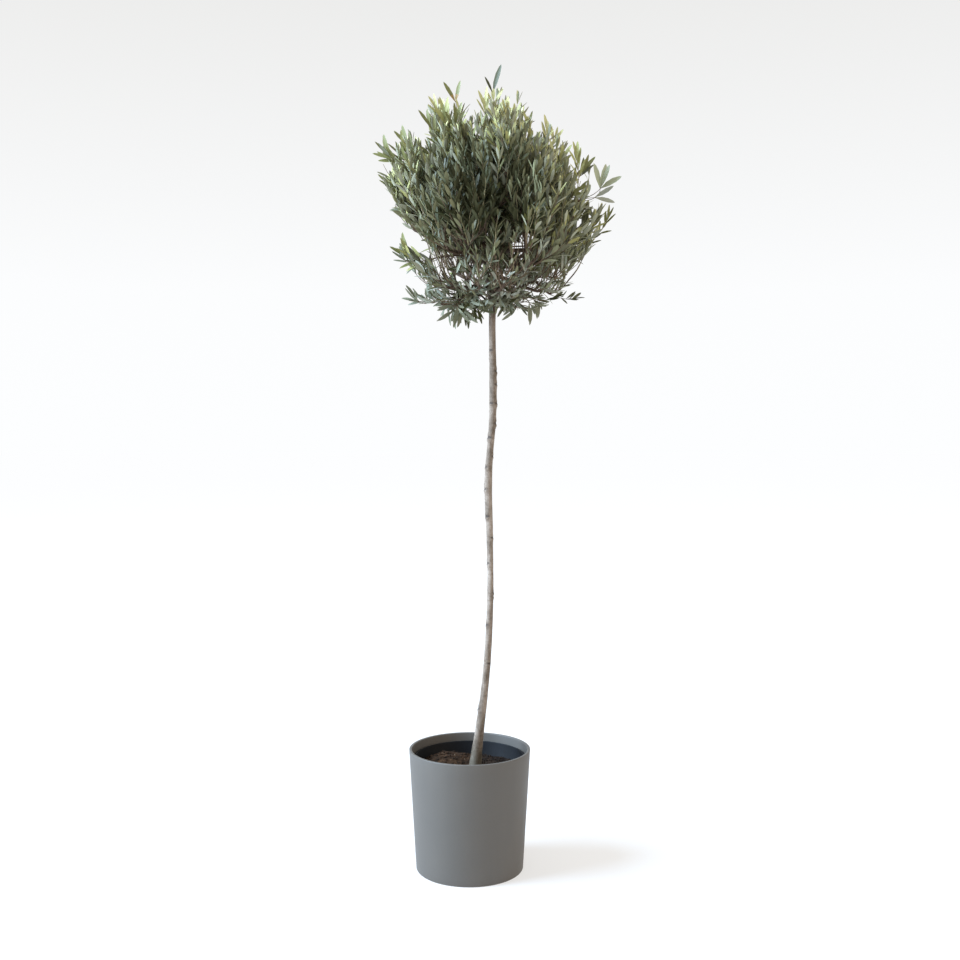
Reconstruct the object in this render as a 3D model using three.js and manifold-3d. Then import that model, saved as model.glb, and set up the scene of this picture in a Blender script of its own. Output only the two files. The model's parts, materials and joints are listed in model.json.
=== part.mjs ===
// Potted olive tree grown as a standard: a round pot, one clear stem and a bushy crown.
// Millimetres, +Z up. The origin is the centre of the pot's underside.
// +X is the tree's right and +Y its back.
import * as THREE from 'three';
import { mergeVertices } from 'three/addons/utils/BufferGeometryUtils.js';
import Module from 'manifold-3d';

// Pot: a straight tapered wall with a thin rounded lip
const POT_HEIGHT = 299;
const POT_RIM_RADIUS = 150;
const POT_BASE_RADIUS = 133;
const POT_WALL = 7;
const POT_FLOOR = 9;
const POT_FOOT_ROUND = 3.5;
const POT_LIP_ROUND = 1.6;

// Nursery liner that stands inside the pot, with a bead round its rim
const LINER_RIM_HEIGHT = 280;
const LINER_RIM_RADIUS = 137;
const LINER_BASE_RADIUS = 119;
const LINER_WALL = 1.8;
const LINER_BEAD_WIDTH = 3.6;
const LINER_BEAD_HEIGHT = 6;

// Root ball: its soil is flat round the trunk and falls a little towards the liner
const SOIL_LEVEL = 250;
const SOIL_FLAT_RADIUS = 52;
const SOIL_EDGE_DROP = 5;

// Trunk: its line is a gentle S, given as [height above the soil, X, Y]
const TRUNK_LINE = [
  [0, 12, 0],
  [64, 20, 0],
  [169, 34, -2],
  [274, 44, -4],
  [430, 51, -2],
  [560, 50, 3],
  [730, 46, 4],
  [870, 57, 0],
  [1111, 55, -2],
];
const TRUNK_RADIUS = 8.2;
const FLARE_RADIUS = 7.7;
const FLARE_HEIGHT = 100;
const ROOT_LOBES = 5;
const ROOT_LOBE_DEPTH = 0.1;
// Slow thickenings and a waist: [height above the soil, change of radius, half length]
const TRUNK_SWELLS = [
  [480, -0.9, 90],
  [680, 1.2, 70],
  [925, 1.2, 60],
];

// Leader: the stem that runs on from the fork, as [height above the fork, X, Y] from the
// trunk's top, and ends in the top mass
const LEADER_LINE = [
  [0, 0, 0],
  [90, 3, 5],
  [210, -3, -2],
  [340, 6, 3],
];
const LEADER_RADIUS = 7.2;
const LEADER_TIP_RADIUS = 3;

// Boughs rise from the leader and then spread: the shares of their span at which they bend
const BOUGH_OUT_SHARE = 0.35;
const BOUGH_RISE_SHARE = 0.5;
const BOUGH_LIFT = 18;
const BOUGH_TIP_RATIO = 0.5;

// Masses of foliage
const CROWN_CENTRE = new THREE.Vector3(75, 0, 1610);
const MASS_SPREAD = 118;
const MASS_DEPTH = 96;
const UNDER_SPREAD = 76;
const UNDER_DEPTH = 62;
const INNER_SHARE = 0.42;
const TIP_SHARPNESS = 22;
const BUMP_COUNT = 7;
const BUMP_HEIGHT = 0.0175;
const BUMP_PITCH = [3, 8];
const VALLEY = 9;
const STEM_CLEARANCE = 24;
const CORNER_SHARPNESS = 12;

// One row for each mass and the bough that carries it. `towards` is the mass's [azimuth,
// elevation] from the crown's centre in degrees, with azimuth counted from +X to +Y, and `reach`
// the distance to its outer side. Each tip is the [azimuth, elevation, length] of a point drawn
// out from the mass's own centre. The bough is `girth` in radius where it leaves the leader,
// `leaves` above the fork.
const TOP = 'top';
const MASSES = [
  { name: TOP, towards: [90, 90], reach: 268, tips: [[180, 89, 181], [0, 61, 134]] },
  {
    name: 'upper_right', towards: [4, 50], reach: 238, leaves: 226, girth: 3.2,
    tips: [[0, 67, 134], [5, 29, 120]],
  },
  { name: 'upper_back', towards: [92, 44], reach: 270, leaves: 250, girth: 3.2, tips: [[95, 58, 132]] },
  {
    name: 'upper_left', towards: [182, 58], reach: 296, leaves: 14, girth: 5,
    tips: [[180, 60, 141], [175, 87, 152]],
  },
  { name: 'upper_front', towards: [268, 46], reach: 268, leaves: 238, girth: 3.2, tips: [[265, 60, 128]] },
  {
    name: 'right', towards: [2, 18], reach: 262, leaves: 150, girth: 3.8,
    tips: [[0, 23, 134], [0, -4, 118]],
  },
  { name: 'back_right', towards: [62, 2], reach: 276, leaves: 176, girth: 3.4, tips: [[60, 22, 126]] },
  { name: 'back_left', towards: [121, 6], reach: 280, leaves: 164, girth: 3.4, tips: [[125, 26, 124]] },
  { name: 'left', towards: [180, 27], reach: 306, leaves: 130, girth: 3.8, tips: [[180, 34, 149]] },
  { name: 'front_left', towards: [238, 2], reach: 278, leaves: 170, girth: 3.4, tips: [[235, 24, 126]] },
  { name: 'front_right', towards: [300, 5], reach: 274, leaves: 156, girth: 3.4, tips: [[305, 18, 124]] },
  {
    name: 'low_right', towards: [356, -32], reach: 244, leaves: 96, girth: 3.6,
    tips: [[356, -60, 128], [0, -2, 104]],
  },
  { name: 'low_back', towards: [88, -33], reach: 268, leaves: 108, girth: 3.4, tips: [[85, -20, 120]] },
  { name: 'low_left', towards: [184, -26], reach: 262, leaves: 88, girth: 3.6, tips: [[181, -17, 116]] },
  { name: 'low_front', towards: [266, -33], reach: 266, leaves: 116, girth: 3.4, tips: [[270, -25, 120]] },
];
// The two masses under the crown are smaller, one on each side of the trunk.
const UNDER_MASSES = [
  {
    name: 'under_left', towards: [184, -66], reach: 268, leaves: 24, girth: 2.8,
    tips: [[182, -6, 160], [200, -88, 86]],
  },
  { name: 'under_right', towards: [356, -70], reach: 256, leaves: 34, girth: 2.8, tips: [[350, -78, 86]] },
];

// Meshing and clearances
const ROUND_SEGMENTS = 40;
const CORNER_STEPS = 2;
const TRUNK_SIDES = 15;
const TRUNK_STEPS = 20;
const BOUGH_SIDES = 8;
const BOUGH_STEPS = 5;
const LEADER_STEPS = 8;
const LEADER_SAMPLES = 400;
const MASS_DETAIL = 3;
const GAP = 0.3;
const MASS_GAP = 0.45;
const WELD = 1e-3;

// Looks
const POT_LOOK = { color: 0x6d7074, roughness: 0.8 };
const LINER_LOOK = { color: 0x23262a, roughness: 0.55 };
const SOIL_LOOK = { color: 0x3c3027, roughness: 0.95 };
const BARK_LOOK = { color: 0x8c7c6c, roughness: 0.85 };
const LEAF_LOOK = { color: 0x59604a, roughness: 0.7 };

const { degToRad, lerp, mapLinear } = THREE.MathUtils;
const ACROSS = new THREE.Vector3(1, 0, 0);
const BACK = new THREE.Vector3(0, 1, 0);

const wasm = await Module();
wasm.setup();

function toSolid(geometry) {
  const bare = geometry.clone();
  bare.deleteAttribute('normal');
  bare.deleteAttribute('uv');
  const welded = mergeVertices(bare, WELD);
  return new wasm.Manifold(new wasm.Mesh({
    numProp: 3,
    vertProperties: welded.attributes.position.array,
    triVerts: welded.index.array,
  }));
}

function toGeometry(solid) {
  const mesh = solid.getMesh();
  const geometry = new THREE.BufferGeometry();
  geometry.setAttribute('position', new THREE.BufferAttribute(mesh.vertProperties, 3));
  geometry.setIndex(new THREE.BufferAttribute(mesh.triVerts, 1));
  geometry.computeVertexNormals();
  return geometry;
}

// The mulberry32 generator: numbers from 0 to 1, the same each time for the same seed.
function seededRandom(seed) {
  let state = seed;
  return () => {
    state = (state + 0x6d2b79f5) | 0;
    let mixed = Math.imul(state ^ (state >>> 15), 1 | state);
    mixed = (mixed + Math.imul(mixed ^ (mixed >>> 7), 61 | mixed)) ^ mixed;
    return ((mixed ^ (mixed >>> 14)) >>> 0) / 2 ** 32;
  };
}

// Unit vector from degrees of azimuth and elevation.
function directionOf(azimuth, elevation) {
  const turn = degToRad(azimuth);
  const rise = degToRad(elevation);
  return new THREE.Vector3(
    Math.cos(rise) * Math.cos(turn),
    Math.cos(rise) * Math.sin(turn),
    Math.sin(rise),
  );
}

// Points of a round corner in a profile, from one angle to another in degrees.
function roundCorner(x, z, radius, from, to) {
  return Array.from({ length: CORNER_STEPS + 1 }, (_, i) => {
    const angle = degToRad(lerp(from, to, i / CORNER_STEPS));
    return new THREE.Vector2(x + radius * Math.cos(angle), z + radius * Math.sin(angle));
  });
}

// A profile of (radius, height) points turned round the Z axis.
function turned(profile) {
  return new THREE.LatheGeometry(profile, ROUND_SEGMENTS).rotateX(Math.PI / 2);
}

function potRadius(z) {
  return mapLinear(z, 0, POT_HEIGHT, POT_BASE_RADIUS, POT_RIM_RADIUS);
}

function potGeometry() {
  const foot = POT_FOOT_ROUND;
  const lip = POT_LIP_ROUND;
  return turned([
    new THREE.Vector2(0, 0),
    ...roundCorner(potRadius(foot) - foot, foot, foot, -90, 0),
    ...roundCorner(POT_RIM_RADIUS - lip, POT_HEIGHT - lip, lip, 0, 90),
    ...roundCorner(POT_RIM_RADIUS - POT_WALL + lip, POT_HEIGHT - lip, lip, 90, 180),
    new THREE.Vector2(potRadius(POT_FLOOR) - POT_WALL, POT_FLOOR),
    new THREE.Vector2(0, POT_FLOOR),
  ]);
}

const linerFoot = POT_FLOOR + GAP;

function linerInnerRadius(z) {
  const innerRim = LINER_RIM_RADIUS - LINER_BEAD_WIDTH;
  return mapLinear(z, linerFoot, LINER_RIM_HEIGHT, LINER_BASE_RADIUS - LINER_WALL, innerRim);
}

function linerGeometry() {
  const underBead = LINER_RIM_HEIGHT - LINER_BEAD_HEIGHT;
  const chamfer = LINER_WALL / 2;
  const floor = linerFoot + LINER_WALL;
  return turned([
    new THREE.Vector2(0, linerFoot),
    new THREE.Vector2(LINER_BASE_RADIUS, linerFoot),
    new THREE.Vector2(linerInnerRadius(underBead) + LINER_WALL, underBead),
    new THREE.Vector2(LINER_RIM_RADIUS, underBead),
    new THREE.Vector2(LINER_RIM_RADIUS, LINER_RIM_HEIGHT - chamfer),
    new THREE.Vector2(LINER_RIM_RADIUS - chamfer, LINER_RIM_HEIGHT),
    new THREE.Vector2(linerInnerRadius(LINER_RIM_HEIGHT), LINER_RIM_HEIGHT),
    new THREE.Vector2(linerInnerRadius(floor), floor),
    new THREE.Vector2(0, floor),
  ]);
}

function rootBallGeometry() {
  const foot = linerFoot + LINER_WALL + GAP;
  const edge = SOIL_LEVEL - SOIL_EDGE_DROP;
  return turned([
    new THREE.Vector2(0, foot),
    new THREE.Vector2(linerInnerRadius(foot) - GAP, foot),
    new THREE.Vector2(linerInnerRadius(edge) - GAP, edge),
    new THREE.Vector2(SOIL_FLAT_RADIUS, SOIL_LEVEL),
    new THREE.Vector2(0, SOIL_LEVEL),
  ]);
}

// A unit cylinder bent along a path, its rings scaled to radiusAt(share of length, angle).
// The rings are level, or square to the path.
function limbGeometry(path, radiusAt, { sides, steps, level }) {
  const geometry = new THREE.CylinderGeometry(1, 1, 1, sides, steps);
  const vertices = geometry.attributes.position;
  const frames = path.computeFrenetFrames(steps);
  for (let i = 0; i < vertices.count; i += 1) {
    const share = vertices.getY(i) + 0.5;
    const ring = Math.round(share * steps);
    const side = level ? ACROSS : frames.normals[ring];
    const back = level ? BACK : frames.binormals[ring];
    const radius = radiusAt(share, Math.atan2(-vertices.getZ(i), vertices.getX(i)));
    const point = path.getPointAt(share)
      .addScaledVector(side, vertices.getX(i) * radius)
      .addScaledVector(back, -vertices.getZ(i) * radius);
    vertices.setXYZ(i, point.x, point.y, point.z);
  }
  geometry.computeVertexNormals();
  return geometry;
}

const trunkFoot = SOIL_LEVEL + GAP;
const trunkPath = new THREE.CatmullRomCurve3(
  TRUNK_LINE.map(([height, x, y]) => new THREE.Vector3(x, y, trunkFoot + height)),
);

// Radius of the trunk, with its swells and the root flare, which parts into lobes at the soil.
function trunkRadius(share, angle) {
  const height = trunkPath.getPointAt(share).z - trunkFoot;
  const flare = Math.exp(-height / FLARE_HEIGHT);
  const lobes = 1 + ROOT_LOBE_DEPTH * flare * Math.cos(ROOT_LOBES * angle);
  const swell = TRUNK_SWELLS.reduce(
    (sum, [middle, change, half]) => sum + change * Math.exp(-(((height - middle) / half) ** 2)),
    0,
  );
  return (TRUNK_RADIUS + swell + FLARE_RADIUS * flare) * lobes;
}

function trunkGeometry() {
  return limbGeometry(trunkPath, trunkRadius, { sides: TRUNK_SIDES, steps: TRUNK_STEPS, level: true });
}

// A row with its mass's place and tips, and the waves that make its surface uneven.
function placeMass(row, index) {
  const random = seededRandom(index + 1);
  const outward = directionOf(...row.towards);
  const centre = CROWN_CENTRE.clone().addScaledVector(outward, row.reach - row.depth);
  const tips = row.tips.map(([azimuth, elevation, length]) => (
    { direction: directionOf(azimuth, elevation), length }
  ));
  const waves = Array.from({ length: BUMP_COUNT }, () => ({
    axis: directionOf(360 * random(), 180 * random() - 90),
    pitch: lerp(BUMP_PITCH[0], BUMP_PITCH[1], random()),
    phase: 2 * Math.PI * random(),
  }));
  return { ...row, outward, centre, tips, waves };
}

const masses = [
  ...MASSES.map((row) => ({ ...row, spread: MASS_SPREAD, depth: MASS_DEPTH })),
  ...UNDER_MASSES.map((row) => ({ ...row, spread: UNDER_SPREAD, depth: UNDER_DEPTH })),
].map(placeMass);

const trunkTop = trunkPath.getPointAt(1);
const forkHeight = trunkTop.z + GAP;
const leaderPath = new THREE.CatmullRomCurve3([
  ...LEADER_LINE.map(([height, x, y]) => (
    new THREE.Vector3(trunkTop.x + x, trunkTop.y + y, forkHeight + height)
  )),
  masses.find((mass) => mass.name === TOP).centre,
]);

// The point of the leader at a height above the fork.
function leaderPoint(height) {
  const samples = leaderPath.getSpacedPoints(LEADER_SAMPLES);
  return samples.find((point) => point.z >= forkHeight + height);
}

function leaderGeometry(extra = 0) {
  const radiusAt = (share) => lerp(LEADER_RADIUS, LEADER_TIP_RADIUS, share) + extra;
  return limbGeometry(leaderPath, radiusAt, { sides: BOUGH_SIDES, steps: LEADER_STEPS, level: true });
}

function boughGeometry(mass, extra = 0) {
  if (mass.name === TOP) return leaderGeometry(extra);
  const start = leaderPoint(mass.leaves);
  const span = mass.centre.clone().sub(start);
  const bend = new THREE.Vector3(
    start.x + span.x * BOUGH_OUT_SHARE,
    start.y + span.y * BOUGH_OUT_SHARE,
    start.z + span.z * BOUGH_RISE_SHARE + BOUGH_LIFT,
  );
  const path = new THREE.QuadraticBezierCurve3(start, bend, mass.centre);
  const radiusAt = (share) => mass.girth * lerp(1, BOUGH_TIP_RATIO, share) + extra;
  return limbGeometry(path, radiusAt, { sides: BOUGH_SIDES, steps: BOUGH_STEPS, level: false });
}

// What stops a mass sideways, as directions with their distances from its centre: the planes
// half way to the other masses, and a plane beside the stem.
function sideStops(mass) {
  const stops = masses.filter((other) => other !== mass).map((other) => {
    const direction = other.centre.clone().sub(mass.centre);
    const share = mass.spread / (mass.spread + other.spread);
    const distance = direction.length() * share - VALLEY / 2;
    return { direction: direction.normalize(), distance };
  });
  if (mass.name === TOP) return stops;
  const inward = new THREE.Vector3(trunkTop.x, trunkTop.y, mass.centre.z).sub(mass.centre);
  const distance = inward.length() - STEM_CLEARANCE;
  return [...stops, { direction: inward.normalize(), distance }];
}

// Distance from a mass's centre to the sphere, round the crown's centre, that bounds it.
function shellDistance(mass, direction) {
  const offset = mass.reach - mass.depth;
  const along = offset * mass.outward.dot(direction);
  return Math.sqrt(along ** 2 + mass.reach ** 2 - offset ** 2) - along;
}

// Distance from a mass's centre to its surface: a ball, flatter inward, pressed back smoothly
// by the shell and the side stops, made bumpy by the waves, with its tips drawn out.
function massRadius(mass, stops, direction) {
  const inward = Math.max(0, -direction.dot(mass.outward));
  const closeness = stops.map((stop) => Math.max(0, direction.dot(stop.direction)) / stop.distance);
  closeness.push(1 / (mass.spread * (1 - INNER_SHARE * inward)), 1 / shellDistance(mass, direction));
  const powers = closeness.reduce((sum, value) => sum + value ** CORNER_SHARPNESS, 0);
  const bumps = mass.waves.reduce(
    (sum, wave) => sum + Math.sin(wave.pitch * direction.dot(wave.axis) + wave.phase),
    BUMP_COUNT / 2,
  );
  const body = powers ** (-1 / CORNER_SHARPNESS) * (1 - BUMP_HEIGHT * bumps);
  return mass.tips.reduce((radius, tip) => {
    const nearness = Math.max(0, direction.dot(tip.direction)) ** TIP_SHARPNESS;
    return lerp(radius, tip.length, nearness);
  }, body);
}

// A ball of small triangles, turned so that one corner meets the first tip, with each corner
// moved out to the mass's surface.
function massGeometry(mass, extra = 0) {
  const geometry = new THREE.IcosahedronGeometry(1, MASS_DETAIL);
  const vertices = geometry.attributes.position;
  const corner = new THREE.Vector3().fromBufferAttribute(vertices, 0).normalize();
  const turn = new THREE.Quaternion().setFromUnitVectors(corner, mass.tips[0].direction);
  geometry.applyQuaternion(turn);
  const stops = sideStops(mass);
  for (let i = 0; i < vertices.count; i += 1) {
    const direction = new THREE.Vector3().fromBufferAttribute(vertices, i).normalize();
    const radius = massRadius(mass, stops, direction) + extra;
    const point = direction.multiplyScalar(radius).add(mass.centre);
    vertices.setXYZ(i, point.x, point.y, point.z);
  }
  geometry.computeVertexNormals();
  return geometry;
}

// Each bough is cut back from the limbs made before it and from the mass that it enters.
function cutBoughs() {
  const grown = [];
  return masses.map((mass) => {
    const limb = grown.reduce((left, other) => left.subtract(other), toSolid(boughGeometry(mass)));
    grown.push(toSolid(boughGeometry(mass, GAP)));
    return toGeometry(limb.subtract(toSolid(massGeometry(mass, MASS_GAP))));
  });
}

const tree = new THREE.Group();

function addPart(name, geometry, look) {
  const mesh = new THREE.Mesh(geometry, new THREE.MeshStandardMaterial({ metalness: 0, ...look }));
  mesh.name = name;
  tree.add(mesh);
}

addPart('pot', potGeometry(), POT_LOOK);
addPart('liner', linerGeometry(), LINER_LOOK);
addPart('root_ball', rootBallGeometry(), SOIL_LOOK);
addPart('trunk', trunkGeometry(), BARK_LOOK);
cutBoughs().forEach((geometry, i) => addPart(`bough_${masses[i].name}`, geometry, BARK_LOOK));
masses.forEach((mass) => addPart(`foliage_${mass.name}`, massGeometry(mass), LEAF_LOOK));

export default tree;
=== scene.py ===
"""Potted olive tree grown as a standard: a round pot with its liner and compost, one clear stem,
and a bushy crown that a seeded branching rule grows from the frame's boughs and masses.
Metres, +Z up, the tree's right is +X and its back +Y."""

import json
import math
from collections import namedtuple

import bpy
import numpy as np
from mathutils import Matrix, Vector, noise
from mathutils.bvhtree import BVHTree

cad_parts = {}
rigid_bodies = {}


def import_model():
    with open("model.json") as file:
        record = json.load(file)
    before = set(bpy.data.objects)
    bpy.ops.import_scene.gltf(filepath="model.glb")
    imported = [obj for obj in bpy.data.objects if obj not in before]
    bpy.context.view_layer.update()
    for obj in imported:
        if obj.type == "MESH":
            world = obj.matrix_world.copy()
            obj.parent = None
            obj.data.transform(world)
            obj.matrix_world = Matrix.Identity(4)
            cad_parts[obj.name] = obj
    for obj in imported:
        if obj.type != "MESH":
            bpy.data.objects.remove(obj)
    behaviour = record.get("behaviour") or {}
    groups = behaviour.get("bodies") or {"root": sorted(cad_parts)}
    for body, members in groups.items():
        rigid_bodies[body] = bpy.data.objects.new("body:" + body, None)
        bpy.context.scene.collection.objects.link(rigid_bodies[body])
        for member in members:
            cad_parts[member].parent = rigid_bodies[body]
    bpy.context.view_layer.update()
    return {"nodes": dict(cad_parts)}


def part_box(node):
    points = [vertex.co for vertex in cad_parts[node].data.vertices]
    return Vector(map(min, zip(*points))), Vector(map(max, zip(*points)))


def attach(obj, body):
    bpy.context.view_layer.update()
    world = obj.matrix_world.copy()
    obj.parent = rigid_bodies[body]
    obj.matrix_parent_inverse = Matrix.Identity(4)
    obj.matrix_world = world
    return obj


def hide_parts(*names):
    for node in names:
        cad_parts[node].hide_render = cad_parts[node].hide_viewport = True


MM = 0.001
UP = np.array((0.0, 0.0, 1.0))
FRONT = np.array((0.0, -1.0, 0.0))
SEED = 41

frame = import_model()
NODES = frame["nodes"]
MASS_NAMES = sorted(n[len("foliage_"):] for n in NODES if n.startswith("foliage_"))


# ---------------------------------------------------------------- vectors


def unit(v):
    """Vectors along the last axis at length one."""
    v = np.asarray(v, float)
    return v / np.maximum(np.linalg.norm(v, axis=-1, keepdims=True), 1e-12)


def mix(a, b, share):
    return a + (b - a) * share


def ramp(value, low, high):
    """0 at low, 1 at high and smooth between."""
    t = np.clip((value - low) / (high - low), 0, 1)
    return t * t * (3 - 2 * t)


def across(direction):
    """A unit vector square to a direction."""
    helper = UP if abs(direction[2]) < 0.9 else np.array((1.0, 0.0, 0.0))
    return unit(np.cross(direction, helper))


def turned(v, axis, angle):
    """v turned about a unit axis."""
    c, s = math.cos(angle), math.sin(angle)
    return v * c + np.cross(axis, v) * s + axis * (axis @ v) * (1 - c)


def bezier(p0, p1, p2, p3, count):
    t = np.linspace(0, 1, count)[:, None]
    s = 1 - t
    return s**3 * p0 + 3 * s * s * t * p1 + 3 * s * t * t * p2 + t**3 * p3


def lengths_along(path):
    return np.concatenate(([0], np.cumsum(np.linalg.norm(np.diff(path, axis=0), axis=1))))


def resample(path, values, step):
    """A path and the values on it at even steps."""
    s = lengths_along(path)
    at = np.linspace(0, s[-1], max(2, int(round(s[-1] / step)) + 1))
    points = np.stack([np.interp(at, s, path[:, k]) for k in range(3)], axis=1)
    return points, np.interp(at, s, values)


def smoothed(path, rounds):
    """A path with its corners relaxed and its ends kept."""
    path = path.copy()
    for _ in range(rounds):
        path[1:-1] = 0.25 * path[:-2] + 0.5 * path[1:-1] + 0.25 * path[2:]
    return path


# ---------------------------------------------------------------- meshes


def cad_points(name):
    """A CAD node's vertices and triangles."""
    mesh = NODES[name].data
    points = np.empty(len(mesh.vertices) * 3)
    mesh.vertices.foreach_get("co", points)
    mesh.calc_loop_triangles()
    triangles = np.empty(len(mesh.loop_triangles) * 3, int)
    mesh.loop_triangles.foreach_get("vertices", triangles)
    return points.reshape(-1, 3), triangles.reshape(-1, 3)


def shown(name, points, faces, materials, paints=None, smooth=True):
    """A piece of the object that rides on its one body."""
    mesh = bpy.data.meshes.new(name)
    mesh.from_pydata(np.asarray(points).tolist(), [], faces)
    for material in materials:
        mesh.materials.append(material)
    if paints is not None:
        mesh.polygons.foreach_set("material_index", np.asarray(paints, np.int32))
    mesh.polygons.foreach_set("use_smooth", np.full(len(mesh.polygons), smooth))
    mesh.validate()
    mesh.update()
    piece = bpy.data.objects.new(name, mesh)
    bpy.context.scene.collection.objects.link(piece)
    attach(piece, "root")
    return piece


def add_attribute(piece, name, values):
    made = piece.data.attributes.new(name, "FLOAT", "POINT")
    made.data.foreach_set("value", np.asarray(values, np.float32))


class Gather:
    """Joins many small shapes into one mesh."""

    def __init__(self):
        self.points, self.faces, self.paints, self.count = [], [], [], 0

    def add(self, points, faces, paint):
        self.points.append(np.asarray(points))
        self.faces.extend(tuple(i + self.count for i in f) for f in faces)
        self.paints.extend([paint] * len(faces))
        self.count += len(points)

    def piece(self, name, materials, smooth=True):
        points = np.concatenate(self.points)
        return shown(name, points, self.faces, materials, self.paints, smooth)


def ring_faces(rings, sides):
    """Quads between closed rings, with both ends capped."""
    faces = []
    for r in range(rings - 1):
        for k in range(sides):
            a, b = r * sides + k, r * sides + (k + 1) % sides
            faces.append((a, b, b + sides, a + sides))
    faces.append(tuple(range(sides - 1, -1, -1)))
    faces.append(tuple(range((rings - 1) * sides, rings * sides)))
    return faces


def frames_along(path):
    """Two unit vectors square to a path at each point, carried along it without twist."""
    tangents = unit(np.gradient(path, axis=0))
    first = across(tangents[0])
    firsts = []
    for t in tangents:
        first = unit(first - t * (first @ t))
        firsts.append(first)
    firsts = np.array(firsts)
    return firsts, np.cross(tangents, firsts)


def tube(path, radii, sides):
    """Vertices of a tube, ring by ring; radii holds one value a ring, or one a vertex."""
    one, two = frames_along(path)
    angle = np.arange(sides) * 2 * math.pi / sides
    radii = np.asarray(radii).reshape(len(path), -1)
    out = one[:, None] * np.cos(angle)[None, :, None] + two[:, None] * np.sin(angle)[None, :, None]
    return (path[:, None] + out * radii[:, :, None]).reshape(-1, 3)


def lathe(name, profile, segments, materials):
    """A closed profile of (radius, height) turned about the Z axis, which radius 0 is on."""
    angle = np.arange(segments) * 2 * math.pi / segments
    points, starts = [], []
    for r, z in profile:
        starts.append(len(points))
        if r == 0:
            points.append((0, 0, z))
        else:
            points.extend((r * math.cos(a), r * math.sin(a), z) for a in angle)
    faces = []
    for i in range(len(profile)):
        j = (i + 1) % len(profile)
        on_axis = profile[i][0] == 0, profile[j][0] == 0
        if all(on_axis):
            continue
        for k in range(segments):
            n = (k + 1) % segments
            a, b = starts[i] + (0 if on_axis[0] else k), starts[i] + (0 if on_axis[0] else n)
            c, d = starts[j] + (0 if on_axis[1] else n), starts[j] + (0 if on_axis[1] else k)
            faces.append(tuple(dict.fromkeys((a, b, c, d))))
    return shown(name, points, faces, materials)


def rounded(profile, radii, steps=5):
    """A profile with an arc of the given radius at each corner that has one."""
    done = []
    for i, corner in enumerate(profile):
        radius = radii.get(i, 0)
        if not radius:
            done.append(tuple(corner))
            continue
        corner = np.array(corner, float)
        back = np.array(profile[i - 1]) - corner
        ahead = np.array(profile[(i + 1) % len(profile)]) - corner
        u, v = unit(back), unit(ahead)
        half = math.acos(np.clip(u @ v, -1, 1)) / 2
        reach = radius / math.tan(half)
        centre = corner + unit(u + v) * radius / math.sin(half)
        start, end = corner + u * reach - centre, corner + v * reach - centre
        turn = math.atan2(start[0] * end[1] - start[1] * end[0], start @ end)
        for k in range(steps + 1):
            a = turn * k / steps
            c, s = math.cos(a), math.sin(a)
            arm = np.array((start[0] * c - start[1] * s, start[0] * s + start[1] * c))
            done.append(tuple(centre + arm))
    return done


# ---------------------------------------------------------------- materials

WHITE = (255, 255, 255)
# Heights between which the trunk's bark turns darker towards the crown: painted shade from the
# crown above
CROWN_SHADE_BARK = (0.95, 1.30)
# Heights between which its foot is darker: painted shade near the pot's rim
FOOT_SHADE_HEIGHTS = (0.275, 0.335)
# From the trunk to the right, over which the compost turns darker
COMPOST_DARKENING = (0.0, 0.06)


def linear(colour):
    """A colour of 0 to 255 as shown, in the linear values that a shader takes."""
    share = np.array(colour) / 255
    curve = ((share + 0.055) / 1.055) ** 2.4
    return tuple(np.where(share <= 0.04045, share / 12.92, curve)) + (1.0,)


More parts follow.
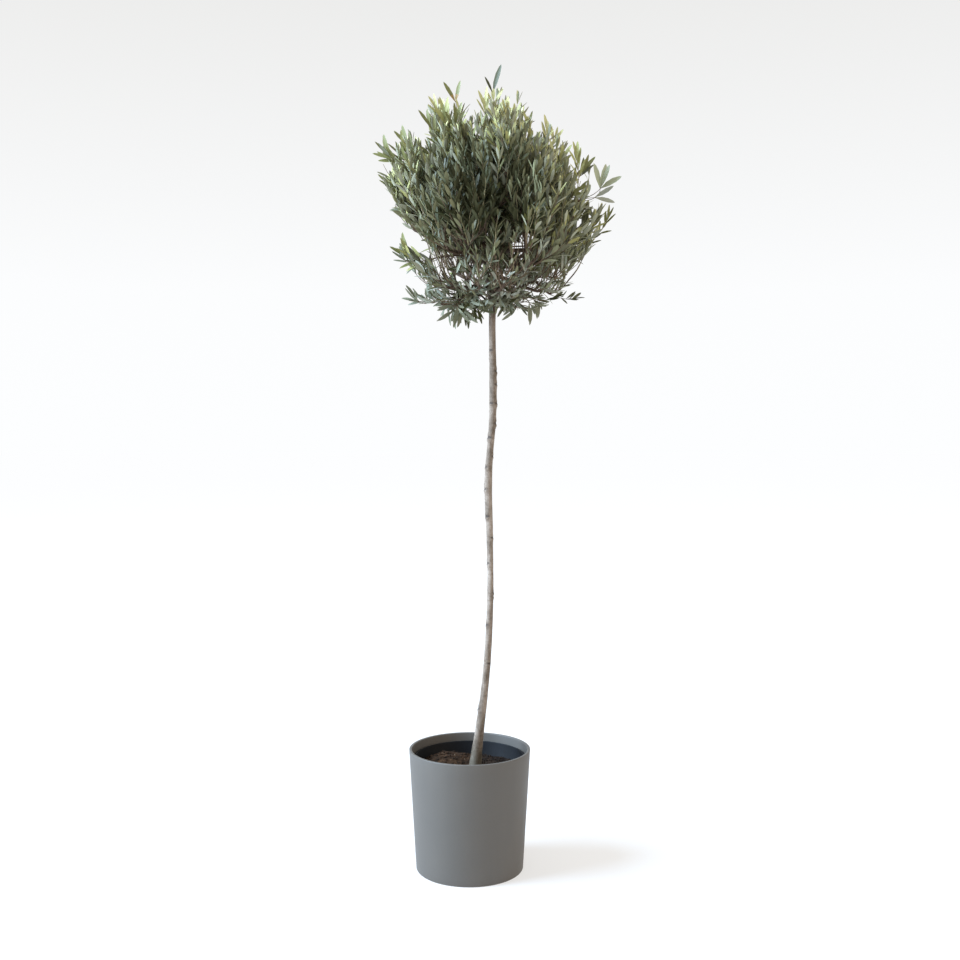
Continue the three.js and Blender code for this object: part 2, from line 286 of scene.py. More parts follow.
class Look:
    """A material under construction: its Principled shader and short calls for its nodes."""

    def __init__(self, name, colour, roughness, **sockets):
        self.material = bpy.data.materials.new(name)
        self.material.use_nodes = True
        self.tree = self.material.node_tree
        self.shader = self.tree.nodes["Principled BSDF"]
        self.shader.inputs["Base Color"].default_value = linear(colour)
        self.shader.inputs["Roughness"].default_value = roughness
        for socket, value in sockets.items():
            self.shader.inputs[socket.replace("_", " ")].default_value = value
        self.material.diffuse_color = linear(colour)

    def node(self, kind, **values):
        made = self.tree.nodes.new(kind)
        for key, value in values.items():
            if key in made.inputs:
                made.inputs[key].default_value = value
            else:
                setattr(made, key, value)
        return made

    def join(self, output, socket):
        self.tree.links.new(output, socket)

    def place(self, scale=(1, 1, 1)):
        """The piece's own coordinates, scaled."""
        coordinates = self.node("ShaderNodeTexCoord")
        mapping = self.node("ShaderNodeMapping")
        mapping.inputs["Scale"].default_value = scale
        self.join(coordinates.outputs["Object"], mapping.inputs["Vector"])
        return mapping.outputs["Vector"]

    def noise(self, place, scale, detail, rough=0.55):
        made = self.node("ShaderNodeTexNoise", Scale=scale, Detail=detail, Roughness=rough)
        self.join(place, made.inputs["Vector"])
        return made.outputs["Fac"]

    def ramp(self, value, stops):
        """A colour ramp from (position, colour) stops."""
        made = self.node("ShaderNodeValToRGB")
        made.color_ramp.elements[0].position = stops[0][0]
        made.color_ramp.elements[-1].position = stops[-1][0]
        for position, _ in stops[1:-1]:
            made.color_ramp.elements.new(position)
        for element, (position, colour) in zip(made.color_ramp.elements, stops):
            element.position, element.color = position, linear(colour)
        self.join(value, made.inputs["Fac"])
        return made.outputs["Color"]

    def blend(self, share, first, second, mode="MIX"):
        made = self.node("ShaderNodeMix", data_type="RGBA", blend_type=mode)
        for value, socket in ((share, 0), (first, 6), (second, 7)):
            if isinstance(value, bpy.types.NodeSocket):
                self.join(value, made.inputs[socket])
            else:
                made.inputs[socket].default_value = value
        return made.outputs[2]

    def stained(self, share, tone, pattern, stops):
        """A tone darkened by a pattern, which runs through (position, colour) stops."""
        return self.blend(share, tone, self.ramp(pattern, stops), "MULTIPLY")

    def axis(self, place, name):
        """One coordinate of a place."""
        parts = self.node("ShaderNodeSeparateXYZ")
        self.join(place, parts.inputs[0])
        return parts.outputs[name]

    def range(self, value, low, high, to_low, to_high):
        made = self.node("ShaderNodeMapRange")
        for i, number in enumerate((low, high, to_low, to_high)):
            made.inputs[i + 1].default_value = number
        self.join(value, made.inputs["Value"])
        return made.outputs["Result"]

    def colour(self, output):
        self.join(output, self.shader.inputs["Base Color"])

    def roughness(self, output):
        self.join(output, self.shader.inputs["Roughness"])

    def bump(self, heights):
        """Bumps on one another, each (height output, strength, distance in metres)."""
        last = None
        for height, strength, distance in heights:
            made = self.node("ShaderNodeBump", Strength=strength, Distance=distance)
            self.join(height, made.inputs["Height"])
            if last is not None:
                self.join(last, made.inputs["Normal"])
            last = made.outputs["Normal"]
        self.join(last, self.shader.inputs["Normal"])


def pot_look():
    """Matt through-coloured grey with a faint mottle and a fine tooth."""
    look = Look("pot_grey", (84, 80, 77), 0.6)
    broad = look.noise(look.place(), 7, 3)
    drawn = look.noise(look.place((1, 1, 0.15)), 45, 3)
    fine = look.noise(look.place(), 900, 4, 0.6)
    tone = look.ramp(broad, [(0.3, (84, 80, 75)), (0.7, (90, 85, 79))])
    tone = look.blend(look.range(drawn, 0.4, 0.7, 0, 0.3), tone, linear((82, 79, 75)))
    look.colour(look.stained(0.35, tone, fine, [(0.35, (222, 222, 222)), (0.5, WHITE)]))
    look.roughness(look.range(broad, 0.3, 0.7, 0.5, 0.62))
    look.bump([(fine, 0.12, 0.0003), (drawn, 0.05, 0.0015)])
    return look.material


def liner_look():
    """Black plastic with a little dust."""
    look = Look("liner_black", (15, 17, 19), 0.6, Specular_IOR_Level=0.2)
    broad = look.noise(look.place(), 14, 3)
    dust = look.noise(look.place(), 70, 4, 0.6)
    tone = look.ramp(broad, [(0.3, (11, 12, 14)), (0.7, (19, 21, 25))])
    look.colour(look.blend(look.range(dust, 0.58, 0.78, 0, 0.3), tone, linear((40, 35, 30))))
    look.roughness(look.range(dust, 0.3, 0.7, 0.48, 0.7))
    look.bump([(dust, 0.12, 0.0008)])
    return look.material


def soil_look(name, dark, mid, light):
    """Crumbly compost, darker on the right."""
    look = Look(name, mid, 0.95, Specular_IOR_Level=0.15)
    place = look.place()
    clods = look.noise(place, 75, 6, 0.65)
    grit = look.noise(place, 420, 5, 0.7)
    tone = look.ramp(clods, [(0.32, dark), (0.52, mid), (0.7, light)])
    tone = look.stained(0.7, tone, grit, [(0.36, (110, 100, 92)), (0.52, WHITE)])
    # The compost turns darker to the right of the trunk
    darker_right = look.range(look.axis(place, "X"), *COMPOST_DARKENING, 0, 0.62)
    look.colour(look.blend(darker_right, tone, linear((14, 12, 11))))
    look.bump([(clods, 0.5, 0.002), (grit, 0.5, 0.0008)])
    return look.material


def bark_look(name, pale, mid, dark, young=None):
    """Thin smooth bark: soft pale plates, fine streaks and faint rings, dark at the scars. Given a
    second colour, it turns to that darker colour towards the crown and darkens at the foot, both
    painted shade."""
    look = Look(name, mid, 0.8)
    plates = look.noise(look.place((1, 1, 0.55)), 46, 5, 0.6)
    streaks = look.noise(look.place((1, 1, 0.14)), 420, 5, 0.65)
    rings = look.noise(look.place((0.25, 0.25, 1)), 260, 4, 0.6)
    pores = look.noise(look.place((1, 1, 0.7)), 620, 3, 0.6)
    tone = look.ramp(plates, [(0.32, dark), (0.5, mid), (0.66, pale)])
    if young:
        height = look.axis(look.place(), "Z")
        # Painted shade: the bark turns to the darker second colour towards the crown, which shades
        # the trunk's top
        tone = look.blend(look.range(height, *CROWN_SHADE_BARK, 0, 0.5), tone, linear(young))
        # Painted shade: darker at the foot, by the pot's rim
        tone = look.blend(look.range(height, *FOOT_SHADE_HEIGHTS, 0.6, 0), tone, linear((72, 68, 52)))
    lines = [(0.34, (186, 172, 158)), (0.5, (244, 241, 237)), (0.64, WHITE)]
    tone = look.stained(0.5, tone, streaks, lines)
    tone = look.stained(0.45, tone, rings, [(0.36, (190, 180, 168)), (0.5, WHITE)])
    tone = look.stained(0.5, tone, pores, [(0.3, (120, 104, 88)), (0.38, WHITE)])
    scar = look.node("ShaderNodeAttribute", attribute_name="scar").outputs["Fac"]
    look.colour(look.blend(scar, tone, linear((42, 31, 23))))
    look.roughness(look.range(plates, 0.3, 0.7, 0.72, 0.88))
    look.bump([(streaks, 0.3, 0.0006), (rings, 0.2, 0.0005), (pores, 0.25, 0.0004)])
    return look.material


def leaf_looks():
    """Plain leaf colours by name: the upper sides, then the undersides, which are duller."""
    uppers = {
        "young": (188, 184, 132), "bright": (166, 164, 108), "mature": (115, 115, 70),
        "grey": (107, 108, 87), "ash": (145, 146, 130), "deep": (66, 68, 40), "shade": (58, 60, 34),
        "bronze": (146, 118, 70), "pale": (160, 164, 136),
    }
    unders = {
        "silver": (148, 148, 126), "silver_dim": (114, 113, 84), "silver_dark": (62, 62, 40),
        "bronze_under": (150, 122, 80),
    }
    looks = []
    for colours, roughness, gloss in ((uppers, 0.5, 0.25), (unders, 0.75, 0.15)):
        for name, colour in colours.items():
            looks.append(Look("leaf_" + name, colour, roughness, Specular_IOR_Level=gloss).material)
    return list(uppers) + list(unders), looks


def twig_looks():
    """Plain twig colours, from this year's shoots to old wood."""
    colours = {"shoot": (146, 135, 102), "twig": (106, 88, 68), "wood": (78, 61, 47)}
    return [Look("twig_" + n, c, 0.75, Specular_IOR_Level=0.3).material for n, c in colours.items()]


# ---------------------------------------------------------------- pot, liner and soil

LATHE_SEGMENTS = 192
# How far from a round node's end its widest ring is looked for
END_BAND = 8 * MM
POT_WALL, POT_FLOOR, POT_FOOT_ROUND, POT_LIP_ROUND = 7 * MM, 9 * MM, 3.5 * MM, 1.6 * MM
POT_INNER_LIP_ROUND, POT_INNER_FOOT_ROUND = 1.3 * POT_LIP_ROUND, 6 * MM
# Rings up a side of the pot taller than this, so that its mesh has no overlong faces
TALL_SIDE, SIDE_RINGS = 0.1, 12
LINER_WALL, LINER_BEAD, LINER_BEAD_HEIGHT = 1.8 * MM, 3.6 * MM, 6 * MM
LINER_FOOT_ROUND, LINER_RIM_ROUNDS = 2 * MM, (0.8 * MM, 1.4 * MM, 1.0 * MM)
SOIL_RINGS, SOIL_SIDES, SOIL_GAP = 84, 240, 0.3 * MM
# Where the compost is heaped, how wide, and how high in millimetres
MOUND, MOUND_WIDTH, MOUND_HEIGHT = (-0.058, 0.050), 0.060, 21.0
CRUMBS, PALE_SHARE, BROWN_SHARE, TRUNK_CLEARANCE = 1500, 0.02, 0.45, 20 * MM


def outline_radius(name, at_top):
    """A round node's radius at its top or bottom."""
    points, _ = cad_points(name)
    z = points[:, 2].max() if at_top else points[:, 2].min()
    ring = points[np.abs(points[:, 2] - z) < END_BAND]
    return np.linalg.norm(ring[:, :2], axis=1).max()


def heights_of(name):
    low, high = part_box(name)
    return low[2], high[2]


def make_pot(material):
    low, high = heights_of("pot")
    rim, foot = outline_radius("pot", True), outline_radius("pot", False)
    base = foot - (rim - foot) * END_BAND / (high - low)
    slope = (rim - base) / (high - low)
    profile = [
        (0, low),
        (base, low),
        (rim, high),
        (rim - POT_WALL, high),
        (base - POT_WALL + slope * POT_FLOOR, low + POT_FLOOR),
        (0, low + POT_FLOOR),
    ]
    rounds = {1: POT_FOOT_ROUND, 2: POT_LIP_ROUND, 3: POT_INNER_LIP_ROUND, 4: POT_INNER_FOOT_ROUND}
    profile = rounded(profile, rounds)
    steps = []
    for (r0, z0), (r1, z1) in zip(profile, profile[1:]):
        steps.append((r0, z0))
        if abs(z1 - z0) > TALL_SIDE:
            shares = np.arange(1, SIDE_RINGS) / SIDE_RINGS
            steps.extend(zip(mix(r0, r1, shares), mix(z0, z1, shares)))
    piece = lathe("pot_body", steps + [profile[-1]], LATHE_SEGMENTS, [material])
    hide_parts("pot")


def make_liner(material):
    """The liner's cup with a bead round its rim. Returns its inner radius there and its slope."""
    low, high = heights_of("liner")
    rim, base = outline_radius("liner", True), outline_radius("liner", False)
    wall_rim = rim - LINER_BEAD + LINER_WALL
    slope = (wall_rim - base) / (high - low)
    bead_low = high - LINER_BEAD_HEIGHT
    profile = [
        (0, low),
        (base, low),
        (base + slope * (bead_low - low), bead_low),
        (rim, bead_low),
        (rim, high),
        (wall_rim - LINER_WALL, high),
        (base - LINER_WALL + slope * LINER_WALL, low + LINER_WALL),
        (0, low + LINER_WALL),
    ]
    profile = rounded(profile, {1: LINER_FOOT_ROUND, **dict(zip((3, 4, 5), LINER_RIM_ROUNDS))}, 4)
    piece = lathe("liner_cup", profile, LATHE_SEGMENTS, [material])
    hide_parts("liner")
    return wall_rim - LINER_WALL, slope


def soil_height(x, y, level, edge):
    """Height of the compost: lumpy, a little higher on the left, sunk towards the liner."""
    p = Vector((x, y, 0))
    lumps = noise.noise(p * 28) * 3.2 + noise.noise(p * 70 + Vector((3, 1, 7))) * 2.0
    grains = noise.noise(p * 190 + Vector((9, 4, 2))) * 0.9 + noise.noise(p * 420) * 0.5
    mound = MOUND_HEIGHT * math.exp(-((x - MOUND[0]) ** 2 + (y - MOUND[1]) ** 2) / MOUND_WIDTH**2)
    out = math.hypot(x, y) / edge
    return level + (lumps + grains + mound - 1.5 - 5.0 * ramp(out, 0.6, 1.0)) * MM


def soil_ring(radius, shift):
    """Places round the axis, turned on by a share of a step."""
    for k in range(SOIL_SIDES):
        a = 2 * math.pi * (k + shift) / SOIL_SIDES
        yield radius * math.cos(a), radius * math.sin(a)


def make_soil(material, level, edge, slope):
    """The root ball: a lumpy top on a tapering side and a flat bottom."""
    low, _ = heights_of("root_ball")
    points = [(0, 0, soil_height(0, 0, level, edge))]
    for r in range(1, SOIL_RINGS + 1):
        ring = soil_ring(edge * r / SOIL_RINGS, 0.5 * (r % 2))
        points.extend((x, y, soil_height(x, y, level, edge)) for x, y in ring)
    foot = len(points)
    bottom = soil_ring(edge - slope * (level - low), 0.5 * (SOIL_RINGS % 2))
    points.extend((x, y, low) for x, y in bottom)
    points.append((0, 0, low))
    faces = [(0, 1 + k, 1 + (k + 1) % SOIL_SIDES) for k in range(SOIL_SIDES)]
    for inner in range(1, foot, SOIL_SIDES):
        outer = inner + SOIL_SIDES
        for k in range(SOIL_SIDES):
            n = (k + 1) % SOIL_SIDES
            faces.append((inner + k, outer + k, outer + n, inner + n))
            if outer == foot:
                faces.append((foot + k, len(points) - 1, foot + n))
    piece = shown("compost", points, faces, [material])
    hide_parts("root_ball")


def lump(rng, size):
    """An uneven closed pebble of 20 faces, flatter than wide."""
    g = (1 + math.sqrt(5)) / 2
    corners = unit([(-1, g, 0), (1, g, 0), (-1, -g, 0), (1, -g, 0), (0, -1, g), (0, 1, g),
                    (0, -1, -g), (0, 1, -g), (g, 0, -1), (g, 0, 1), (-g, 0, -1), (-g, 0, 1)])
    faces = [(0, 11, 5), (0, 5, 1), (0, 1, 7), (0, 7, 10), (0, 10, 11), (1, 5, 9), (5, 11, 4),
             (11, 10, 2), (10, 7, 6), (7, 1, 8), (3, 9, 4), (3, 4, 2), (3, 2, 6), (3, 6, 8),
             (3, 8, 9), (4, 9, 5), (2, 4, 11), (6, 2, 10), (8, 6, 7), (9, 8, 1)]
    stretch = rng.uniform(0.6, 1.3, 3) * (1, 1, 0.7)
    points = corners * (size * rng.uniform(0.75, 1.2, (12, 1))) * stretch
    spin = rng.uniform(0, 2 * math.pi)
    c, s = math.cos(spin), math.sin(spin)
    return points @ np.array(((c, -s, 0), (s, c, 0), (0, 0, 1))), faces


def scatter_crumbs(materials, level, edge, trunk_foot):
    """Crumbs of compost, bark chips and a few pale grains lying on the surface."""
    rng = np.random.default_rng(SEED + 5)
    gather = Gather()
    for _ in range(CRUMBS):
        a, r = rng.uniform(0, 2 * math.pi), (edge - 4 * MM) * math.sqrt(rng.uniform())
        x, y = r * math.cos(a), r * math.sin(a)
        pale = rng.uniform() < PALE_SHARE
        size = rng.uniform(0.7, 1.5) * MM if pale else (0.8 + 3.4 * rng.uniform() ** 3) * MM
        if math.hypot(x - trunk_foot[0], y - trunk_foot[1]) < TRUNK_CLEARANCE:
            continue
        points, faces = lump(rng, size)
        top = soil_height(x, y, level, edge) + size * 0.25
        gather.add(points + (x, y, top), faces, 2 if pale else int(rng.uniform() < BROWN_SHARE))
    piece = gather.piece("compost_crumbs", materials, smooth=False)


# ---------------------------------------------------------------- trunk and boughs


# How many sections a centre line is measured on, and the share left out at each end
TRUNK_SECTIONS, BOUGH_SECTIONS = (42, 0.002), (9, 0.05)
# Points at a bough's either end that are taken together
END_POINTS = 12
# Sides and step of the meshes, spacing of the scars along them and where they start
TRUNK_SIDES, TRUNK_STEP, TRUNK_SCAR_GAP, TRUNK_SCAR_START = 44, 1.9 * MM, 46 * MM, 60 * MM
BOUGH_STEP, BOUGH_SCAR_GAP, BOUGH_SCAR_START = 2.4 * MM, 34 * MM, 20 * MM
# Sides of the leader and of the other boughs, and how strong their scars and relief are
LEADER_BARK, BOUGH_BARK = (26, 0.7), (14, 0.45)
# The share of buds that left a scar, how far one reaches along a stem, and the height and width
# of one of size 1
SCAR_SHARE, SCAR_REACH, SCAR_HEIGHT, SCAR_WIDTH = 0.62, 14 * MM, 4.4 * MM, 5.2 * MM


def sections(name, start, end, count, margin):
    """Centres and radii of a limb's sections on planes from start to end."""
    points, triangles = cad_points(name)
    edges = np.concatenate([triangles[:, (0, 1)], triangles[:, (1, 2)], triangles[:, (2, 0)]])
    axis = unit(end - start)
    along = points @ axis
    low, high = along.min(), along.max()
    centres, radii = [], []
    for share in np.linspace(margin, 1 - margin, count):
        level = mix(low, high, share)
        a, b = along[edges[:, 0]] - level, along[edges[:, 1]] - level
        cut = a * b < 0
        t = (a[cut] / (a[cut] - b[cut]))[:, None]
        hits = mix(points[edges[cut, 0]], points[edges[cut, 1]], t)
        centre = (hits.min(axis=0) + hits.max(axis=0)) / 2
        centres.append(centre)
        radii.append(np.linalg.norm(hits - centre, axis=1).mean())
    return np.array(centres), np.array(radii)


def trunk_line():
    """The trunk's centre line and radii, from the soil to the fork."""
    points, _ = cad_points("trunk")
    low, high = points[points[:, 2].argmin()], points[points[:, 2].argmax()]
    return sections("trunk", low, np.array((low[0], low[1], high[2])), *TRUNK_SECTIONS)


def bough_line(name, goal):
    """A bough's centre line and radii, from its parent to its mass."""
    points, _ = cad_points("bough_" + name)
    away = np.linalg.norm(points - goal, axis=1)
    order = np.argsort(away)
    start = points[order[-END_POINTS:]].mean(axis=0)
    end = points[order[:END_POINTS]].mean(axis=0)
    return sections("bough_" + name, start, end, *BOUGH_SECTIONS)


def relief(place, angle, seed):
    """Height of the bark in metres at a place on a stem: long furrows, lumps and fine grain."""
    p = Vector(place)
    furrow = noise.noise(Vector((p.x * 330 + seed, p.y * 330, p.z * 42)))
    lumps = noise.noise(Vector((p.x * 60, p.y * 60, p.z * 26 + seed)))
    grain = noise.noise(Vector((p.x * 700, p.y * 700, p.z * 260 + seed)))
    wrinkle = noise.noise(Vector((math.cos(angle), math.sin(angle) + seed, p.z * 480)))
    return (furrow * 0.22 + lumps * 0.40 + grain * 0.10 + wrinkle * 0.12) * MM


# Bud scars that show on the trunk: height above the soil, angle round it (0 at the back, 90 on
# the left, 270 on the right) and size
TRUNK_SCARS = (
    (1.035, 140, 1.17), (0.984, 245, 1.43), (0.952, 238, 1.17), (0.906, 150, 1.04),
    (0.906, 246, 1.17), (0.857, 262, 1.56), (0.822, 132, 1.62), (0.776, 250, 1.04),
    (0.749, 112, 1.17), (0.695, 108, 1.30), (0.628, 142, 1.30), (0.575, 235, 1.04),
    (0.512, 118, 1.17), (0.440, 248, 1.04), (0.360, 125, 1.04), (0.265, 215, 1.04),
    (0.150, 102, 1.43),
)


def scars_for(length, rng, spacing, first):
    """Bud scars in opposite pairs, each pair a quarter turn on: (distance, angle, size)."""
    found, at, turn = [], first, rng.uniform(0, math.pi)
    while at < length:
        for side in (0, math.pi):
            if rng.uniform() < SCAR_SHARE:
                size = rng.uniform(0.6, 1.25)
                place = at + rng.normal(0, 2.5) * MM
                found.append((place, turn + side + rng.normal(0, 0.25), size))
        at += spacing * rng.uniform(0.6, 1.5)
        turn += math.pi / 2 + rng.normal(0, 0.3)
    return found


def stem(path, radii, sides, step, scars, seed, strength=1.0):
    """A barked stem: its vertices, its faces and how much of a scar each vertex is."""
    path, radii = resample(path, radii, step)
    along = lengths_along(path)
    one, two = frames_along(path)
    angles = np.arange(sides) * 2 * math.pi / sides
    heights = np.zeros((len(path), sides))
    marks = np.zeros((len(path), sides))
    for at, angle, size in scars:
        for i in np.nonzero(np.abs(along - at) < SCAR_REACH)[0]:
            up = (along[i] - at) / (SCAR_HEIGHT * size)
            turn = (angles - angle + math.pi) % (2 * math.pi) - math.pi
            wide = turn * radii[i] / (SCAR_WIDTH * size)
            swell = np.exp(-(up * up * 0.35 + wide * wide * 0.45))
            lip = np.exp(-((up + 0.7) ** 2 * 3 + wide * wide))
            pit = np.exp(-(up * up * 3 + wide * wide * 0.9))
            heights[i] += (swell * 1.3 + lip * 0.8 - pit * 1.2) * MM * size * strength
            marks[i] = np.maximum(marks[i], np.clip(pit * 1.5 - 0.2, 0, 0.85))
    for i in range(len(path)):
        for k in range(sides):
            out = one[i] * math.cos(angles[k]) + two[i] * math.sin(angles[k])
            heights[i, k] += relief(path[i] + out * radii[i], angles[k], seed) * strength
    points = tube(path, radii[:, None] + heights, sides)
    return points, ring_faces(len(path), sides), marks.ravel()


def make_trunk(material, leader):
    """The trunk from its flare to the fork, run on a little into the leader."""
    line, line_radii = trunk_line()
    above = leader[0][leader[0][:, 2] > line[-1, 2] + 4 * MM][:2]
    path = np.concatenate([line, above])
    path[0, 2] -= 3 * MM
    path = smoothed(resample(path, np.zeros(len(path)), 8 * MM)[0], 3)
    radii = np.interp(path[:, 2], line[:, 2], line_radii)
    rng = np.random.default_rng(SEED + 1)
    scars = scars_for(lengths_along(path)[-1], rng, TRUNK_SCAR_GAP, TRUNK_SCAR_START)
    scars = [scar for scar in scars if math.cos(scar[1]) > 0.1]
    scars += [(height, math.radians(angle), size) for height, angle, size in TRUNK_SCARS]
    points, faces, marks = stem(path, radii, TRUNK_SIDES, TRUNK_STEP, scars, 3.0)
    piece = shown("trunk_bark", points, faces, [material])
    add_attribute(piece, "scar", marks)
    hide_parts("trunk")


def make_boughs(material, lines):
    """The leader and the boughs, whose scars and relief are the fainter the thinner they are."""
    for number, (name, (path, radii)) in enumerate(sorted(lines.items())):
        rng = np.random.default_rng(SEED + 20 + number)
        sides, strength = LEADER_BARK if name == LEADER else BOUGH_BARK
        scars = scars_for(lengths_along(path)[-1], rng, BOUGH_SCAR_GAP, BOUGH_SCAR_START)
        scars = [(at, angle, size * strength) for at, angle, size in scars]
        points, faces, marks = stem(path, radii, sides, BOUGH_STEP, scars, number * 7.0, strength)
        piece = shown("bough_bark_" + name, points, faces, [material])
        add_attribute(piece, "scar", marks)
        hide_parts("bough_" + name)


# ---------------------------------------------------------------- growth

LEADER = "top"
EYE = (0.0255, -2.7825, 1.08)
# How far apart shoots end on the crown's outside, there but low down, inside it, and round a sprig
SURFACE_SPACING, LOW_SPACING, INNER_SPACING, SPRIG_CLEARANCE = 35 * MM, 42 * MM, 33 * MM, 40 * MM
# Places tried on the outside of each mass, and how often the inside is tried under each one kept
SURFACE_TRIES, INNER_TRIES = 1100, 8
# A mass's drawn-out tips: how far apart, how much further out than the rest, and how many
TIP_SPACING, TIP_REACH, MOST_TIPS = 34 * MM, 1.18, 4
# How far leaves reach past the end of their shoot
LEAF_REACH = 34 * MM
# Grown shoots end clear of openings with at least this share, and run clear of sky this wide
OPENING_SHARE, WIDE_OPENING = 0.9, 14 * MM
# How much further in than their leaves need the outer shoots may end, and do at the crown's top
SETBACK = 0.045
# The least a grown shoot spans, and how far it wavers
LEAST_SPAN, WAVER = 0.03, 0.0016
# Boughs bear short shoots above this height, and shoots of the network a little higher still
HEART_FLOOR, OFFER_FLOOR = 1.43, 1.45
# Below these heights, short twigs may be bare, and twigs are brown
BARE_BELOW, BROWN_BELOW = 1.54, 1.53
SHOOT_RADIUS, SHOOT_TIP_RADIUS = 1.25 * MM, 0.6 * MM
# The length between a shoot's points, and the turn from one short shoot to the next
SHOOT_STEP, GOLDEN_TURN = 0.009, 2.4
# Distance between short shoots along a branch and along a bough, and how long those are
SIDE_GAP, SIDE_REACH = (0.018, 0.034), (0.045, 0.085)
HEART_GAP, HEART_REACH = (0.010, 0.020), (0.05, 0.105)
# Where the crown is thin seen from the front, by the share of its leaves that is gone: rows of
# (x, z, radius) in millimetres where the line of sight meets the plane of the trunk. It is clear
# sky where the share is 1, sky but for the sprigs at 0.95, and a veil that shows the limbs behind
# where it is less.
OPENINGS = {
    0.95: (
        (306, 1700, 26), (322, 1660, 20), (-15, 1904, 22), (92, 1928, 28), (-146, 1899, 30),
        (-190, 1860, 40), (104, 1935, 28), (175, 1874, 18), (-55, 1880, 24), (8, 1920, 24),
    ),
    1.0: (
        (303, 1670, 12), (-125, 1440, 14), (-124, 1537, 17), (-136, 1556, 14), (-119, 1822, 16),
        (-190, 1800, 14), (-66, 1499, 25), (-40, 1500, 12), (-205, 1727, 13), (-214, 1650, 24),
        (-196, 1590, 28), (161, 1826, 12), (215, 1850, 22), (141, 1555, 15), (112, 1537, 11),
        (128, 1532, 9), (-2, 1596, 6), (38, 1589, 6), (114, 1652, 5), (62, 1601, 5),
        (215, 1469, 11), (166, 1425, 8), (153, 1434, 6), (107, 1435, 7), (-11, 1464, 6),
        (-29, 1459, 6), (-43, 1423, 6), (131, 1398, 7), (195, 1418, 8), (251, 1603, 6),
        (266, 1589, 7), (-115, 1618, 6), (-73, 1508, 12), (271, 1701, 10), (262, 1681, 9),
        (266, 1474, 22), (310, 1500, 30), (146, 1400, 10), (116, 1368, 12), (-110, 1370, 26),
        (210, 1365, 26), (30, 1410, 8),
    ),
    0.5: ((45, 1455, 60), (0, 1925, 70), (110, 1930, 70)),
    0.35: ((140, 1480, 60), (-80, 1540, 50)),
    0.4: ((-110, 1905, 50),),
    0.15: ((60, 1480, 110),),
}
OPENING_ROWS = np.array([
    (x / 1000, z / 1000, radius / 1000, share)
    for share, rows in OPENINGS.items() for x, z, radius in rows
])
